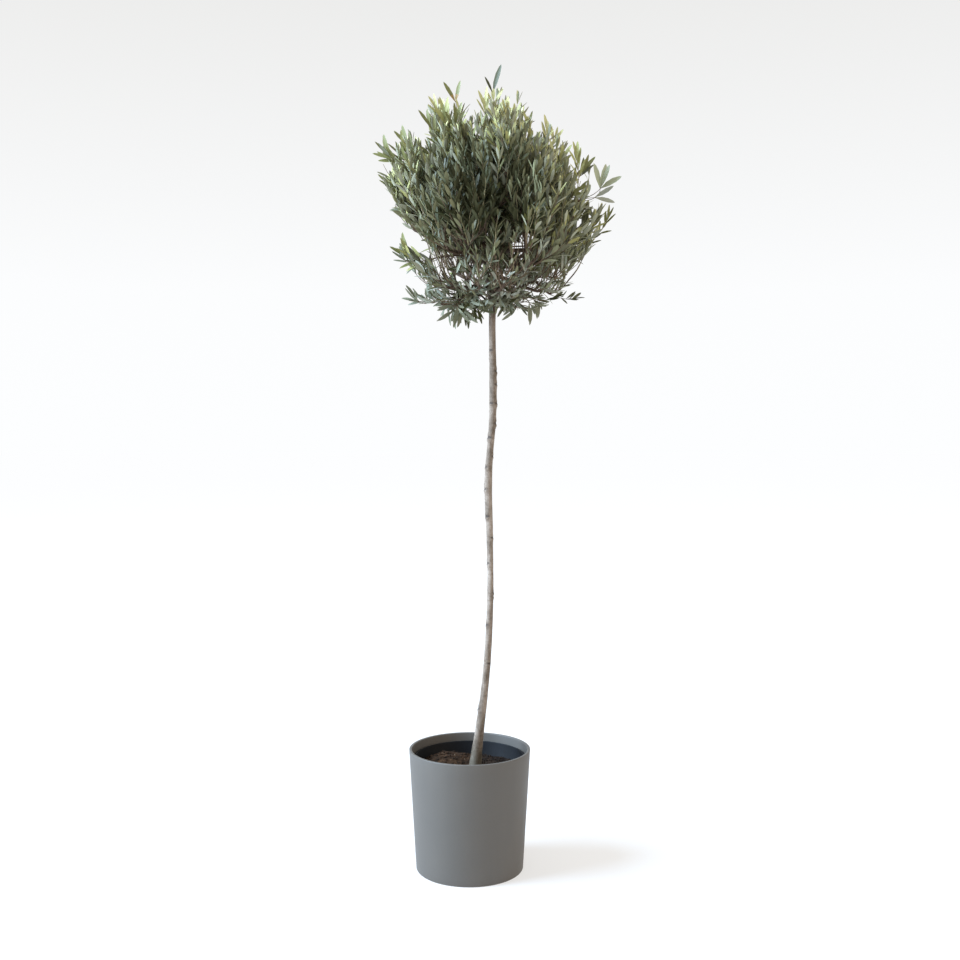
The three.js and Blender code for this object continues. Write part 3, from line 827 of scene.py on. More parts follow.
# Sprigs, the shoots that stand out in the crown's front view, by mass: the end of the shoot in
# millimetres, the way it points in hundredths, the length that bears leaves in millimetres, the
# colour, and the size of the leaves in percent
SPRIGS = {
    "top": (
        (56, -10, 1901, -3, 0, 100, 100, "dark_tip", 154),
        (35, -30, 1862, -12, -10, 100, 120, "young", 95),
        (112, -10, 1832, 38, 0, 100, 100, "young", 105),
        (90, -40, 1836, 2, -20, 100, 120, "young", 90),
        (70, 20, 1842, 5, 10, 100, 120, "young", 90),
    ),
    "upper_left": (
        (-31, -20, 1877, 5, 0, 100, 8, "bronze", 115),
        (-78, -20, 1860, -28, -10, 100, 40, "young", 80),
        (-69, 20, 1862, -2, 10, 100, 80, "young", 85),
        (-57, -40, 1840, 8, -10, 100, 130, "bright", 100),
        (-33, -60, 1822, 2, -20, 100, 130, "mature", 100),
        (-93, -50, 1808, -42, -20, 100, 130, "mature", 100),
        (-149, -20, 1776, -48, -10, 100, 140, "mature", 105),
    ),
    "left": (
        (-200, 0, 1756, -62, 0, 100, 140, "mature", 100),
        (-172, 10, 1768, -50, 10, 100, 100, "mature", 95),
        (-155, -40, 1758, -40, -10, 100, 100, "mature", 100),
        (-190, -30, 1738, -100, -10, 45, 80, "mature", 95),
        (-193, 20, 1685, -60, 10, 100, 120, "mature", 95),
        (-160, -40, 1615, -100, -10, 40, 100, "grey", 95),
    ),
    "low_left": (
        (-158, 0, 1524, -18, 0, 100, 85, "mature", 110),
        (-160, -15, 1500, -80, -10, 75, 50, "grey", 80),
        (-144, -20, 1508, -10, -10, 100, 70, "bright", 105),
        (-121, -20, 1496, 2, -10, 100, 70, "grey", 85),
    ),
    "under_left": (
        (-136, 0, 1402, -100, 0, 12, 60, "grey", 85),
        (-128, -10, 1408, -10, -10, 100, 20, "grey", 85),
        (-106, -10, 1410, -20, -10, 100, 60, "grey", 90),
        (-89, -30, 1414, -35, -10, 100, 70, "grey", 90),
        (-28, -35, 1372, 30, -25, -100, 70, "grey", 95),
        (-53, 10, 1376, -15, 10, -100, 60, "grey", 80),
        (-4, 10, 1376, 42, 10, -100, 70, "deep", 95), (4, -50, 1392, 30, -60, -60, 80, "grey", 85),
        (-62, 40, 1386, -40, 50, -70, 80, "grey", 85),
        (-22, 50, 1382, 10, 50, -80, 80, "grey", 90), (-98, -10, 1396, -80, 0, -30, 70, "ash", 80),
        (-40, -10, 1374, -10, -30, -100, 80, "grey", 100),
        (-12, -30, 1372, 20, -30, -100, 80, "grey", 100),
        (20, -35, 1376, 35, -50, -90, 70, "deep", 95),
        (0, -25, 1400, 10, -50, -80, 60, "deep", 80),
        (28, -55, 1398, 20, -60, -70, 60, "grey", 80),
        (12, -50, 1408, -20, -40, -90, 60, "grey", 80),
        (30, 40, 1402, 10, 40, -90, 60, "deep", 80),
    ),
    "under_right": (
        (98, -30, 1392, -30, -50, -80, 70, "grey", 90),
        (118, 0, 1394, -30, 0, -100, 60, "deep", 90),
        (85, -15, 1392, -10, -10, -100, 60, "deep", 90),
        (152, -10, 1384, 35, -20, -100, 60, "grey", 95),
        (112, 0, 1378, -30, -10, -100, 50, "grey", 100),
        (160, 0, 1394, 15, -10, -100, 50, "grey", 85),
        (100, -10, 1400, 40, -20, -100, 60, "grey", 90),
        (50, -20, 1392, 20, -40, -100, 60, "grey", 85),
        (66, -40, 1402, 30, -40, -90, 60, "grey", 80), (82, 30, 1398, 10, 40, -90, 60, "deep", 80),
        (120, -40, 1398, -10, -60, -60, 70, "grey", 85),
        (150, 40, 1396, 20, 60, -60, 70, "grey", 85),
        (200, -30, 1402, 80, -40, 10, 70, "deep", 75),
        (140, -20, 1390, -22, -10, -100, 70, "grey", 100),
        (174, 10, 1397, 30, 10, -100, 50, "grey", 75),
    ),
    "low_right": (
        (250, -10, 1407, 100, 0, 22, 80, "deep", 72), (226, 20, 1445, 45, 10, 100, 70, "grey", 75),
        (235, -30, 1496, 100, -10, 10, 90, "mature", 95),
        (334, -10, 1600, 30, 0, 100, 130, "mature", 72),
    ),
    "right": (
        (316, 0, 1677, -20, 0, 100, 8, "pale", 125), (318, 4, 1679, 50, 10, 100, 8, "pale", 132),
        (306, -5, 1652, 100, 0, 10, 8, "ash", 105), (288, 10, 1664, 2, 10, 100, 50, "pale", 85),
        (276, -10, 1712, 60, -10, 100, 100, "mature", 92),
        (261, -30, 1745, 10, -20, 100, 120, "bright", 90),
        (240, -60, 1652, 80, -30, 55, 100, "mature", 100),
    ),
    "upper_right": (
        (222, -20, 1742, 5, -10, 100, 120, "bright", 92),
        (188, 0, 1808, 10, 0, 100, 120, "young", 95),
        (150, -20, 1815, 8, -10, 100, 110, "bright", 95),
        (212, 10, 1803, 42, 10, 100, 70, "young", 90),
        (142, -20, 1816, -8, -10, 100, 120, "bright", 95),
        (171, 20, 1788, -8, 10, 100, 110, "mature", 90),
    ),
}


def in_opening(places, chance=1.0, least=0.0):
    """Whether any of some places falls in an opening whose share is at least the chance and whose
    radius is at least the least."""
    places = np.atleast_2d(places)
    eye = np.array(EYE)
    sight = places - eye
    met = eye + sight * (-eye[1] / sight[:, 1:2])
    rows = OPENING_ROWS[(OPENING_ROWS[:, 3] >= chance) & (OPENING_ROWS[:, 2] >= least)]
    gap = np.hypot(met[:, :1] - rows[:, 0], met[:, 2:] - rows[:, 1])
    return bool((gap < rows[:, 2]).any())


def sprigs_of(mass):
    """A mass's sprigs: end, heading, leafy length, colour and leaf size."""
    for *numbers, tone, size in SPRIGS.get(mass, ()):
        end, way = np.array(numbers[:3]) / 1000, np.array(numbers[3:6]) / 100
        yield end, unit(way), numbers[6] / 1000, tone, size / 100


def share_up(point, crown):
    """How high a point is in the crown, 0 at its foot and 1 at its top."""
    return (point[2] - crown[0]) / (crown[1] - crown[0])


class Mass:
    """A mass of foliage as the frame has it: where shoots may end."""

    def __init__(self, name):
        self.name = name
        self.points, self.triangles = cad_points("foliage_" + name)
        self.centre = (self.points.min(axis=0) + self.points.max(axis=0)) / 2
        self.tree = BVHTree.FromPolygons(self.points.tolist(), self.triangles.tolist())

    def depth(self, point):
        """How far inside the surface a point is; negative outside."""
        hit, normal, _, distance = self.tree.find_nearest(Vector(point))
        return distance if (Vector(point) - hit).dot(normal) < 0 else -distance

    def samples(self, rng, count):
        """Random points on the surface with their normals."""
        corners = self.points[self.triangles]
        cross = np.cross(corners[:, 1] - corners[:, 0], corners[:, 2] - corners[:, 0])
        area = np.linalg.norm(cross, axis=1)
        chosen = rng.choice(len(area), count, p=area / area.sum())
        u, v = rng.uniform(size=(2, count))
        flip = u + v > 1
        u[flip], v[flip] = 1 - u[flip], 1 - v[flip]
        c = corners[chosen]
        spots = c[:, 0] + (c[:, 1] - c[:, 0]) * u[:, None] + (c[:, 2] - c[:, 0]) * v[:, None]
        return spots, unit(cross[chosen])

    def tips(self):
        """The points drawn out furthest from the centre."""
        corners = np.unique(np.round(self.points, 5), axis=0)
        away = np.linalg.norm(corners - self.centre, axis=1)
        found = []
        for i in np.argsort(-away):
            near = np.linalg.norm(corners - corners[i], axis=1) < TIP_SPACING
            if away[i] >= away[near].max() and away[i] > TIP_REACH * np.median(away):
                found.append(corners[i])
        return found[:MOST_TIPS]


class Limb:
    """One shoot or branch: its line, where its leaves are, and how many shoots it carries."""

    def __init__(self, path, parent, at, leafy, kind, tone=None, size=1.0):
        self.path = path
        self.along = lengths_along(path)
        self.length = self.along[-1]
        self.tangents = unit(np.gradient(path, axis=0))
        self.parent, self.at = parent, at
        self.leafy, self.kind, self.tone, self.size = leafy, kind, tone, size
        self.load = np.ones(len(path))
        limb, place = parent, at
        while limb is not None:
            limb.load[: place + 1] += 1
            limb, place = limb.parent, limb.at

    def place(self, at):
        """The point at a distance along the line, and the direction there."""
        i = min(int(np.searchsorted(self.along, at)), len(self.path) - 1)
        share = (at - self.along[i - 1]) / max(self.along[i] - self.along[i - 1], 1e-9)
        return mix(self.path[i - 1], self.path[i], min(max(share, 0), 1)), self.tangents[i]

    def radii(self):
        thick = SHOOT_RADIUS * self.load**0.38
        thin = mix(1, SHOOT_TIP_RADIUS / SHOOT_RADIUS, self.along / self.length)
        return np.where(self.load > 1, np.maximum(thick, SHOOT_RADIUS * thin), SHOOT_RADIUS * thin)


def shoot_heading(tip, foot, crown, rng):
    """Which way a shoot points at its tip: out from the crown's foot, turned up above and down
    below."""
    rise = mix(-0.25, 0.95, ramp(share_up(tip, crown), 0.02, 0.36))
    return unit(unit(tip - foot) + UP * rise + rng.normal(0, 0.11, 3))


def exposed(point, crown_centre, others):
    """Whether nothing of the crown lies outside a point of its surface."""
    out = unit(point - crown_centre)
    start = Vector(point + out * 4 * MM)
    return all(m.tree.ray_cast(start, Vector(out), 0.5)[0] is None for m in others)


def surface_targets(masses, crown_centre, crown, rng):
    """Spread-out places on the crown's outside, the drawn-out tips first, clear of the sprigs, as
    (point, mass, whether it is a tip)."""
    sprigs = [end + way * LEAF_REACH for name in SPRIGS for end, way, *_ in sprigs_of(name)]
    found, candidates = [], []
    for m in masses:
        for tip in m.tips():
            clear = np.linalg.norm(np.array(sprigs) - tip, axis=1).min() > SPRIG_CLEARANCE
            if clear and exposed(tip, crown_centre, masses):
                found.append((tip, m, True))
        spots, normals = m.samples(rng, SURFACE_TRIES)
        facing = np.sum(normals * unit(spots - crown_centre), axis=1) > -0.1
        candidates.extend((p, m, False) for p in spots[facing])
    places = [t[0] for t in found] + sprigs
    for i in rng.permutation(len(candidates)):
        point = candidates[i][0]
        spacing = mix(LOW_SPACING, SURFACE_SPACING, ramp(share_up(point, crown), 0.1, 0.5))
        if np.linalg.norm(np.array(places) - point, axis=1).min() < spacing:
            continue
        if exposed(point, crown_centre, masses):
            found.append(candidates[i])
            places.append(point)
    return found


def inner_targets(outer, rng):
    """Places under the surface, for the shoots that fill the crown."""
    found, places = [], [np.zeros(3)]
    for point, m, _ in outer * INNER_TRIES:
        inward = unit(m.centre - point)
        spot = point + inward * rng.uniform(0.025, 0.12) + rng.normal(0, 0.022, 3)
        clear = np.linalg.norm(np.array(places) - spot, axis=1).min() > INNER_SPACING
        if clear and m.depth(spot) > 0:
            found.append((spot, m, False))
            places.append(spot)
    return found


class Network:
    """The limbs of one mass, and the places on them that a new one may grow from."""

    def __init__(self, main, bough):
        self.limbs = []
        self.spots, self.headings, self.owners = [], [], []
        self.add(main)
        self.offer(bough, bough.path[:, 2] > OFFER_FLOOR)

    def add(self, limb):
        self.limbs.append(limb)
        self.offer(limb, limb.along < limb.length - (0.03 if limb.kind == "main" else 0.055))

    def offer(self, limb, free):
        """Lets shoots grow from those points of a limb that are free."""
        for i in range(1, len(limb.path)):
            if free[i]:
                self.spots.append(limb.path[i])
                self.headings.append(limb.tangents[i])
                self.owners.append((limb, i))

    def best(self, base, tip, heading):
        """The place to grow from for a shoot that should start near base and end at tip."""
        spots, headings = np.array(self.spots), np.array(self.headings)
        span = tip - spots
        length = np.linalg.norm(span, axis=1)
        gap = np.linalg.norm(base - spots, axis=1)
        turn = 1 - np.sum(unit(span) * headings, axis=1)
        bend = 1 - unit(span) @ heading
        cost = gap * (1 + 0.6 * turn) + 0.05 * bend + np.where(length < 0.07, 1.0, 0)
        i = int(cost.argmin())
        return self.owners[i], length[i]


def grow_shoot(network, tip, heading, reach, kind, rng, tone=None, size=1.0):
    """A shoot from the best place on the network to a tip."""
    grown = kind != "sprig"
    (parent, at), span = network.best(tip - heading * reach, tip, heading)
    start, along = parent.path[at], parent.tangents[at]
    if span < LEAST_SPAN or (grown and in_opening(tip + heading * 0.02, OPENING_SHARE)):
        return
    leave = unit(along * 0.7 + unit(tip - start) + rng.normal(0, 0.1, 3))
    count = max(6, int(span / SHOOT_STEP))
    path = bezier(start, start + leave * span * 0.34, tip - heading * span * 0.36, tip, count)
    wave = rng.normal(0, WAVER, path.shape)
    wave[0] = 0
    path = path + smoothed(wave, 2)
    if grown and in_opening(path[-(len(path) // 5) :], 1.0, WIDE_OPENING):
        return
    leafy = min(span * 0.92, reach * rng.uniform(0.95, 1.25))
    network.add(Limb(path, parent, at, leafy, kind, tone, size))


def round_limb(limb, first, end, gap, rng):
    """Places for short shoots along a limb, each turned on from the last: which point of it, and
    the way out from there."""
    at, turn = first, rng.uniform(0, 6.28)
    while at < end:
        i = int(np.searchsorted(limb.along, at))
        yield i, turned(across(limb.tangents[i]), limb.tangents[i], turn)
        at += rng.uniform(*gap)
        turn += GOLDEN_TURN + rng.normal(0, 0.4)


def short_path(limb, i, side, reach, tip, arrive, count):
    """The line of a short shoot that leaves a limb sideways and comes to its tip along arrive."""
    root = limb.path[i]
    leave = unit(limb.tangents[i] + side)
    return bezier(root, root + leave * reach * 0.33, tip - arrive * reach * 0.3, tip, count)


def side_shoots(network, mass, rng):
    """Short leafy shoots in the bare lengths of the branches."""
    for limb in list(network.limbs):
        bare = limb.length - limb.leafy * 0.8
        for i, side in round_limb(limb, rng.uniform(0.02, 0.04), bare, SIDE_GAP, rng):
            reach = rng.uniform(*SIDE_REACH)
            heading = unit(limb.tangents[i] * 0.55 + side + UP * 0.35)
            tip = limb.path[i] + unit(heading + UP * 0.25) * reach
            if mass.depth(tip) > 0.012 and not in_opening(tip, OPENING_SHARE):
                bare_twig = tip[2] < BARE_BELOW and rng.uniform() < 0.2
                path = short_path(limb, i, side, reach, tip, heading, 8)
                leafy = 0.0 if bare_twig else reach * 0.85
                network.limbs.append(Limb(path, limb, i, leafy, "side"))


def heart_shoots(network, bough, rng):
    """Short shaded shoots on a bough's own length, in the heart of the crown."""
    for i, side in round_limb(bough, 0.02, bough.length, HEART_GAP, rng):
        if bough.path[i][2] > HEART_FLOOR:
            reach = rng.uniform(*HEART_REACH)
            heading = unit(bough.tangents[i] * 0.3 + side + UP * 0.6)
            tip = bough.path[i] + heading * reach
            path = short_path(bough, i, side, reach, tip, unit(heading + UP * 0.3), 9)
            network.limbs.append(Limb(path, bough, i, reach * 0.8, "side"))


def main_limb(bough, lead, foot, crown, rng):
    """The limb that carries a bough on to its mass's leading place."""
    tip = lead - shoot_heading(lead, foot, crown, rng) * LEAF_REACH
    start, along = bough[-1], unit(bough[-1] - bough[-3])
    span = np.linalg.norm(tip - start)
    heading = shoot_heading(tip, foot, crown, rng)
    count = max(8, int(span / SHOOT_STEP))
    path = bezier(start, start + along * span * 0.3, tip - heading * span * 0.35, tip, count)
    return Limb(path, None, 0, 0.13, "main")


def grow_mass(mass, bough, outer, inner, foot, crown, rng):
    """Every limb of one mass: the main one, the sprigs, the shoots to its outer and inner places
    from the bough on, and the short ones between."""
    mine = [t for t in outer if t[1] is mass]
    lead = max(mine, key=lambda t: (t[2], t[0][2]))
    own = Limb(bough, None, 0, 0.0, "bough")
    network = Network(main_limb(bough, lead[0], foot, crown, rng), own)
    for end, way, reach, tone, size in sprigs_of(mass.name):
        grow_shoot(network, end, way, reach, "sprig", rng, tone, size)
    mine = sorted(mine, key=lambda t: np.linalg.norm(t[0] - bough[-1]))
    for point, _, drawn in (t for t in mine if t is not lead):
        heading = shoot_heading(point, foot, crown, rng)
        back = LEAF_REACH + (0 if drawn else SETBACK * rng.uniform() ** 1.5)
        back += SETBACK * ramp(share_up(point, crown), 0.68, 0.88)
        reach = rng.uniform(0.13, 0.21)
        grow_shoot(network, point - heading * back, heading, reach, "outer", rng)
    for point, _, _ in (t for t in inner if t[1] is mass):
        heading = shoot_heading(point, foot, crown, rng)
        grow_shoot(network, point, heading, rng.uniform(0.08, 0.13), "inner", rng)
    side_shoots(network, mass, rng)
    heart_shoots(network, own, rng)
    return network


def grow_crown(masses, lines):
    """Every limb of the crown by mass, and the crown's centre and heights."""
    rng = np.random.default_rng(SEED)
    points = np.concatenate([m.points for m in masses])
    crown_centre = (points.min(axis=0) + points.max(axis=0)) / 2
    crown = points[:, 2].min(), points[:, 2].max()
    foot = trunk_line()[0][-1] + UP * 0.03
    outer = surface_targets(masses, crown_centre, crown, rng)
    inner = inner_targets(outer, rng)
    networks = {m: grow_mass(m, lines[m.name][0], outer, inner, foot, crown, rng) for m in masses}
    return networks, crown_centre, crown


# ---------------------------------------------------------------- leaves

# How far along a leaf its cross-sections are, and how wide there against its full width
LEAF_STATIONS = (0.11, 0.36, 0.66, 0.90)
LEAF_WIDTHS = (0.26, 0.88, 0.96, 0.52)
LEAF_LENGTH, LEAF_SLIMNESS, LEAF_THICKNESS = 0.0455, 0.222, 0.5 * MM
# Where along a leaf it's tested against the openings
LEAF_PROBES = np.array((0.3, 0.6, 0.82, 1.0))[:, None]
# How long and how slim a leaf is on each kind of shoot, against those
LEAF_BUILD = {
    "main": (1.0, 1.0), "outer": (1.0, 1.0), "sprig": (1.1, 0.9), "inner": (0.9, 0.9),
    "side": (0.86, 0.9),
}
# What differs between sprigs and grown shoots: the length of the end pair against the rest, the
# bounds of a leaf's length, the degrees between the shoot and a leaf of its end pair, how much
# they vary by pair and by leaf, how much a heading varies, and how long low leaves are
Manner = namedtuple("Manner", "end_length lengths spread pair_noise leaf_noise loose low_build")
SPRIG_MANNER = Manner(1.0, (0.93, 1.07), 13, 2, 2, 0.03, 0.96)
GROWN_MANNER = Manner(0.62, (0.82, 1.17), 10, 4, 6, 0.07, 0.82)
# Degrees that leaves spread in full pairs, and more on an old length and low in the crown
FULL_SPREAD, OLD_SPREAD, LOW_SPREAD = 30, 12, 10
# The number of pairs from the tip before they are full
FULL_PAIR = 3.6
# The spread of the end pair where a sprig has its own
PAIR_SPREAD = {"dark_tip": 19, "bronze": 15}
# The dark pair at the top: how long the leaves below it are and the one on its left, and how far
# it stands above them
BELOW_DARK, DARK_LEFT, DARK_GAP = 0.58, 0.56, 0.012
# Leaf colours from new to old, in most sprays and in the thin growth below; the last, shade, is
# painted shade for the crown's heart
AGEING = ("young", "bright", "mature", "grey", "deep", "shade")
ASHY = ("ash", "grey", "deep", "shade")
# Faces at the base of a bronze leaf that are bronze
BRONZE_FACES = 4
TONES = {}


def leaf_faces():
    """Faces of one leaf: its upper side, then its underside. Each station has a left edge, a right
    edge, an upper and a lower midrib point; the base is point 0 and the tip the last."""
    count = len(LEAF_STATIONS)
    tip = 1 + 4 * count
    upper, lower = [], []
    for s in range(-1, count):
        here, there = 1 + 4 * s, 5 + 4 * s
        l0, r0, u0, d0 = range(here, here + 4) if s >= 0 else (0,) * 4
        l1, r1, u1, d1 = range(there, there + 4) if s < count - 1 else (tip,) * 4
        for side, a0, a1, m0, m1 in (
            (upper, l0, l1, u0, u1), (upper, u0, u1, r0, r1),
            (lower, r0, r1, d0, d1), (lower, d0, d1, l0, l1),
        ):
            side.append(tuple(dict.fromkeys((a0, m0, m1, a1))))
    return upper, lower


def leaf_points(base, heading, normal, length, width, bend, fold):
    """The points of many leaves at once, leaf by leaf."""
    side = np.cross(normal, heading)
    rows = [base]
    for t, w in zip(LEAF_STATIONS, LEAF_WIDTHS):
        drop = -bend * t * t * length
        mid = base + heading * (t * length)[:, None] + normal * drop[:, None]
        half = (w * width / 2)[:, None]
        lift = normal * (fold[:, None] * half)
        skin = normal * (LEAF_THICKNESS / 2 * min(1, w * 1.5))
        rows += [mid + side * half + lift, mid - side * half + lift, mid + skin, mid - skin]
    rows.append(base + heading * length[:, None] + normal * (-bend * length)[:, None])
    return np.stack(rows, axis=1)


class Spray:
    """The leaves of one shoot: opposite pairs down it from its tip, each a quarter turn on, with a
    closed pair at the end."""

    def __init__(self, limb, crown_centre, crown, rng):
        self.limb, self.rng = limb, rng
        self.named = limb.kind == "sprig"
        self.manner = SPRIG_MANNER if self.named else GROWN_MANNER
        self.turn = rng.uniform(0, math.pi)
        if self.named:
            start = across(limb.tangents[-1])
            self.turn = math.atan2(np.cross(limb.tangents[-1], start)[0], start[0])
        height = share_up(limb.path[-1], crown)
        self.tone = limb.tone or spray_tone(limb, height, crown_centre, rng)
        self.gap = rng.uniform(0.0130, 0.0170)
        self.low = 1 - ramp(height, 0.10, 0.40)
        self.missing = 0 if self.named else 0.38 * (1 - ramp(height, 0.2, 0.62))
        vigour = rng.uniform(0.88, 1.14)
        length, slim = LEAF_BUILD[limb.kind]
        low_build = mix(1.0, self.manner.low_build, self.low)
        length *= (1.0 if self.named else vigour) * limb.size * low_build
        self.build = length * mix(0.92, 1.0, ramp(limb.path[-1][1], -0.16, -0.06))
        self.slim = slim * (mix(1.0, 0.86, self.low) * (1.2 if self.tone == "pale" else 1.0))

    def leaves(self):
        """A row for each leaf, as leaves_piece takes them."""
        rng = self.rng
        s, pair = 0.004, 0
        while s < self.limb.leafy:
            point, axis = self.limb.place(self.limb.length - s)
            first = turned(across(axis), axis, self.turn)
            age = s / self.limb.leafy
            full = ramp(pair, 0, FULL_PAIR)
            spread = mix(PAIR_SPREAD.get(self.tone, self.manner.spread), FULL_SPREAD, full)
            spread += OLD_SPREAD * age + LOW_SPREAD * self.low
            spread = math.radians(spread + rng.normal(0, self.manner.pair_noise))
            for side in (first, -first):
                fallen = age > 0.6 and rng.uniform() < (age - 0.5) * 0.8
                if not fallen and rng.uniform() >= self.missing:
                    yield from self.leaf(point, axis, side, spread, age, full, pair)
            s += self.gap * mix(0.4, 1.15, full) * rng.uniform(0.85, 1.2) * math.sqrt(self.build)
            s += DARK_GAP if pair == 0 and self.tone == "dark_tip" else 0
            self.turn += math.pi / 2 + rng.normal(0, 0.16)
            pair += 1

    def leaf(self, point, axis, side, spread, age, full, pair):
        """The row of one leaf, unless it falls in an opening."""
        rng, manner = self.rng, self.manner
        angle = spread + rng.normal(0, math.radians(manner.leaf_noise))
        lift = UP * (0.16 + 0.22 * self.low * (axis[2] > -0.4))
        ahead = axis * math.cos(angle) + side * math.sin(angle)
        heading = unit(ahead + lift + rng.normal(0, manner.loose, 3))
        facing = axis * 0.5 + rng.normal(0, 4 * manner.loose, 3) - side * 0.8 + UP * 0.2
        facing = unit(facing + FRONT * 1.5 if self.named else facing)
        facing = unit(facing - heading * (facing @ heading))
        length = LEAF_LENGTH * self.build * mix(manner.end_length, 1.0, full)
        length *= rng.uniform(*manner.lengths)
        length *= mix(1.0, 0.9, ramp(age, 0.6, 1.0)) * (0.72 if self.named and pair % 2 else 1.0)
        if self.tone == "dark_tip":
            length *= BELOW_DARK if pair else DARK_LEFT if side[0] < 0 else 1.0
        probes = point + heading * (length * LEAF_PROBES)
        if in_opening(probes) or in_opening(probes[1], 1.0 if self.named else rng.uniform()):
            return
        width = length * LEAF_SLIMNESS * self.slim * rng.uniform(0.82, 1.2)
        bend = rng.normal(0.02 + 0.07 * self.low + 0.04 * age, 0.05)
        fold = rng.uniform(0.12, 0.4)
        upper = leaf_tone(self.tone, pair, self.named, rng)
        yield (point, heading, facing, length, width, bend, fold, upper,
               under_tone(self.tone, pair, rng))


def spray_tone(limb, height, crown_centre, rng):
    """The colour of a spray: new growth outside and above, with painted light making the top
    lighter; deep greens in the crown's heart and on inner shoots, partly painted shade; darker on
    the left and lighter on the right, painted to offset the key light from the left; and ashy grey
    in the thin growth below."""
    away = (limb.path[-1] - crown_centre) * (1.0, 0.45, 0.9)
    # Lighter out from the crown's centre: newer growth outside, and painted shade in the heart
    light = ramp(np.linalg.norm(away), 0.05, 0.27) + rng.normal(0, 0.19)
    # Lighter at the top: new growth, and painted light standing for light through the top leaves;
    # inner and side shoots darker: painted shade
    light += 0.52 * ramp(height, 0.50, 0.85) - (0.18 if limb.kind in ("inner", "side") else 0)
    # Darker on the left and lighter on the right: painted to offset the key light from the left
    light += 0.24 * ramp(limb.path[-1][0], -0.05, 0.2) - 0.1
    if height > 0.55:
        levels = ((0.84, "young"), (0.62, "bright"), (0.38, "mature"), (0.15, "deep"))
    elif height > 0.33:
        levels = ((0.92, "bright"), (0.66, "mature"), (0.48, "grey"), (0.15, "deep"))
    else:
        levels = ((0.80, "ash"), (0.45, "grey"), (0.20, "deep"))
    return next((tone for level, tone in levels if light > level), "shade")


def leaf_tone(tone, pair, named, rng):
    """The upper side takes its spray's colour, newer at the end of a light spray and older down
    it."""
    if tone == "bronze":
        return TONES["bronze" if pair < 2 else "bright"]
    if tone == "dark_tip":
        return TONES["deep" if pair < 1 else "young" if pair < 6 else "bright"]
    if tone == "pale":
        return TONES["pale"]
    order = ASHY if tone == "ash" else AGEING
    place = order.index(tone)
    if pair < 2 and 0 < place < 3 and not named:
        place -= 1
    elif pair > 5 and place < 2:
        place += 1
    if rng.uniform() < 0.08:
        place = min(place + 1, len(order) - 1)
    return TONES[order[place]]


def under_tone(tone, pair, rng):
    """The underside's colour, silvery but for dull sprays, and dark for the shade sprays, painted
    shade, and for the dark pair at the top.
    """
    if tone == "bronze":
        return TONES["bronze_under" if pair < 2 else "silver_dim"]
    # Painted shade: shade sprays get a dark underside
    if tone == "shade" or (tone == "dark_tip" and pair < 1):
        return TONES["silver_dark"]
    dim = tone in ("deep", "grey") or rng.uniform() < 0.35
    return TONES["silver_dim" if dim else "silver"]


def leaves_piece(name, table, materials):
    """The leaves of one mass as one mesh, with sharp rims so that each side shades on its own."""
    *shapes, tops, unders = zip(*table)
    points = leaf_points(*(np.array(column, float) for column in shapes))
    upper, lower = leaf_faces()
    count = points.shape[1]
    faces, paints = [], []
    for i, (top, under) in enumerate(zip(tops, unders)):
        faces.extend(tuple(k + i * count for k in f) for f in upper + lower)
        beyond = TONES["mature"] if top == TONES["bronze"] else top
        paints.extend([top] * BRONZE_FACES + [beyond] * (len(upper) - BRONZE_FACES))
        paints.extend([under] * len(lower))
    piece = shown("leaves_" + name, points.reshape(-1, 3), faces, materials, paints)
    rim = np.ones(count, bool)
    for s in range(len(LEAF_STATIONS)):
        rim[1 + 4 * s + 2] = rim[1 + 4 * s + 3] = False
    mesh = piece.data
    ends = np.empty(len(mesh.edges) * 2, int)
    mesh.edges.foreach_get("vertices", ends)
    sharp = rim[ends % count].reshape(-1, 2).all(axis=1)
    mesh.edges.foreach_set("use_edge_sharp", sharp)
    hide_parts("foliage_" + name)


def twigs_piece(name, network, materials):
    """The wood inside one mass as one mesh."""
    gather = Gather()
    for limb in network.limbs:
        radii = limb.radii()
        thick = radii[0]
        sides = 7 if thick > 2 * MM else 5
        old = thick > 1.3 * MM or limb.kind == "side" or limb.path[-1][2] < BROWN_BELOW
        paint = 2 if thick > 2.1 * MM else int(old)
        gather.add(tube(limb.path, radii, sides), ring_faces(len(limb.path), sides), paint)
    piece = gather.piece("twigs_" + name, materials)


# ---------------------------------------------------------------- light, floor and camera


# The lamps: place, the point each looks at, size, watts and colour
KEY = ((-5.55, -1.2, 4.4), (0.05, 0, 1.0), 4.6, 1520, (0.60, 0.80, 1.04))
FILL = ((3.4, -1.2, 1.6), (0.05, 0, 0.8), 2.4, 22, (1.0, 0.75, 0.42))
# The floor's own light near the pot and far off, its colour in both, and how far each is
FLOOR_GLOW, FAR_GLOW = 0.58, 0.72
FLOOR_TINT, FAR_TINT = (254, 252, 250), (252, 253, 255)
NEAR, FAR = 0.6, 5.0
FLOOR_RADIUS, FLOOR_SIDES = 60.0, 96
# Sky colours up from the horizon
SKY = ((0, (253, 254, 255)), (0.12, (252, 253, 254)), (0.36, (236, 236, 235)))
CAMERA_TILT, CAMERA_SENSOR, CAMERA_LENS = 2.38, 36, 42.49


def area_light(name, place, towards, size, power, colour):
    light = bpy.data.lights.new(name, "AREA")
    light.shape, light.size, light.energy, light.color = "DISK", size, power, colour
    lamp = bpy.data.objects.new(name, light)
    lamp.location = place
    lamp.rotation_mode = "QUATERNION"
    lamp.rotation_quaternion = (Vector(towards) - Vector(place)).to_track_quat("-Z", "Y")
    bpy.context.scene.collection.objects.link(lamp)


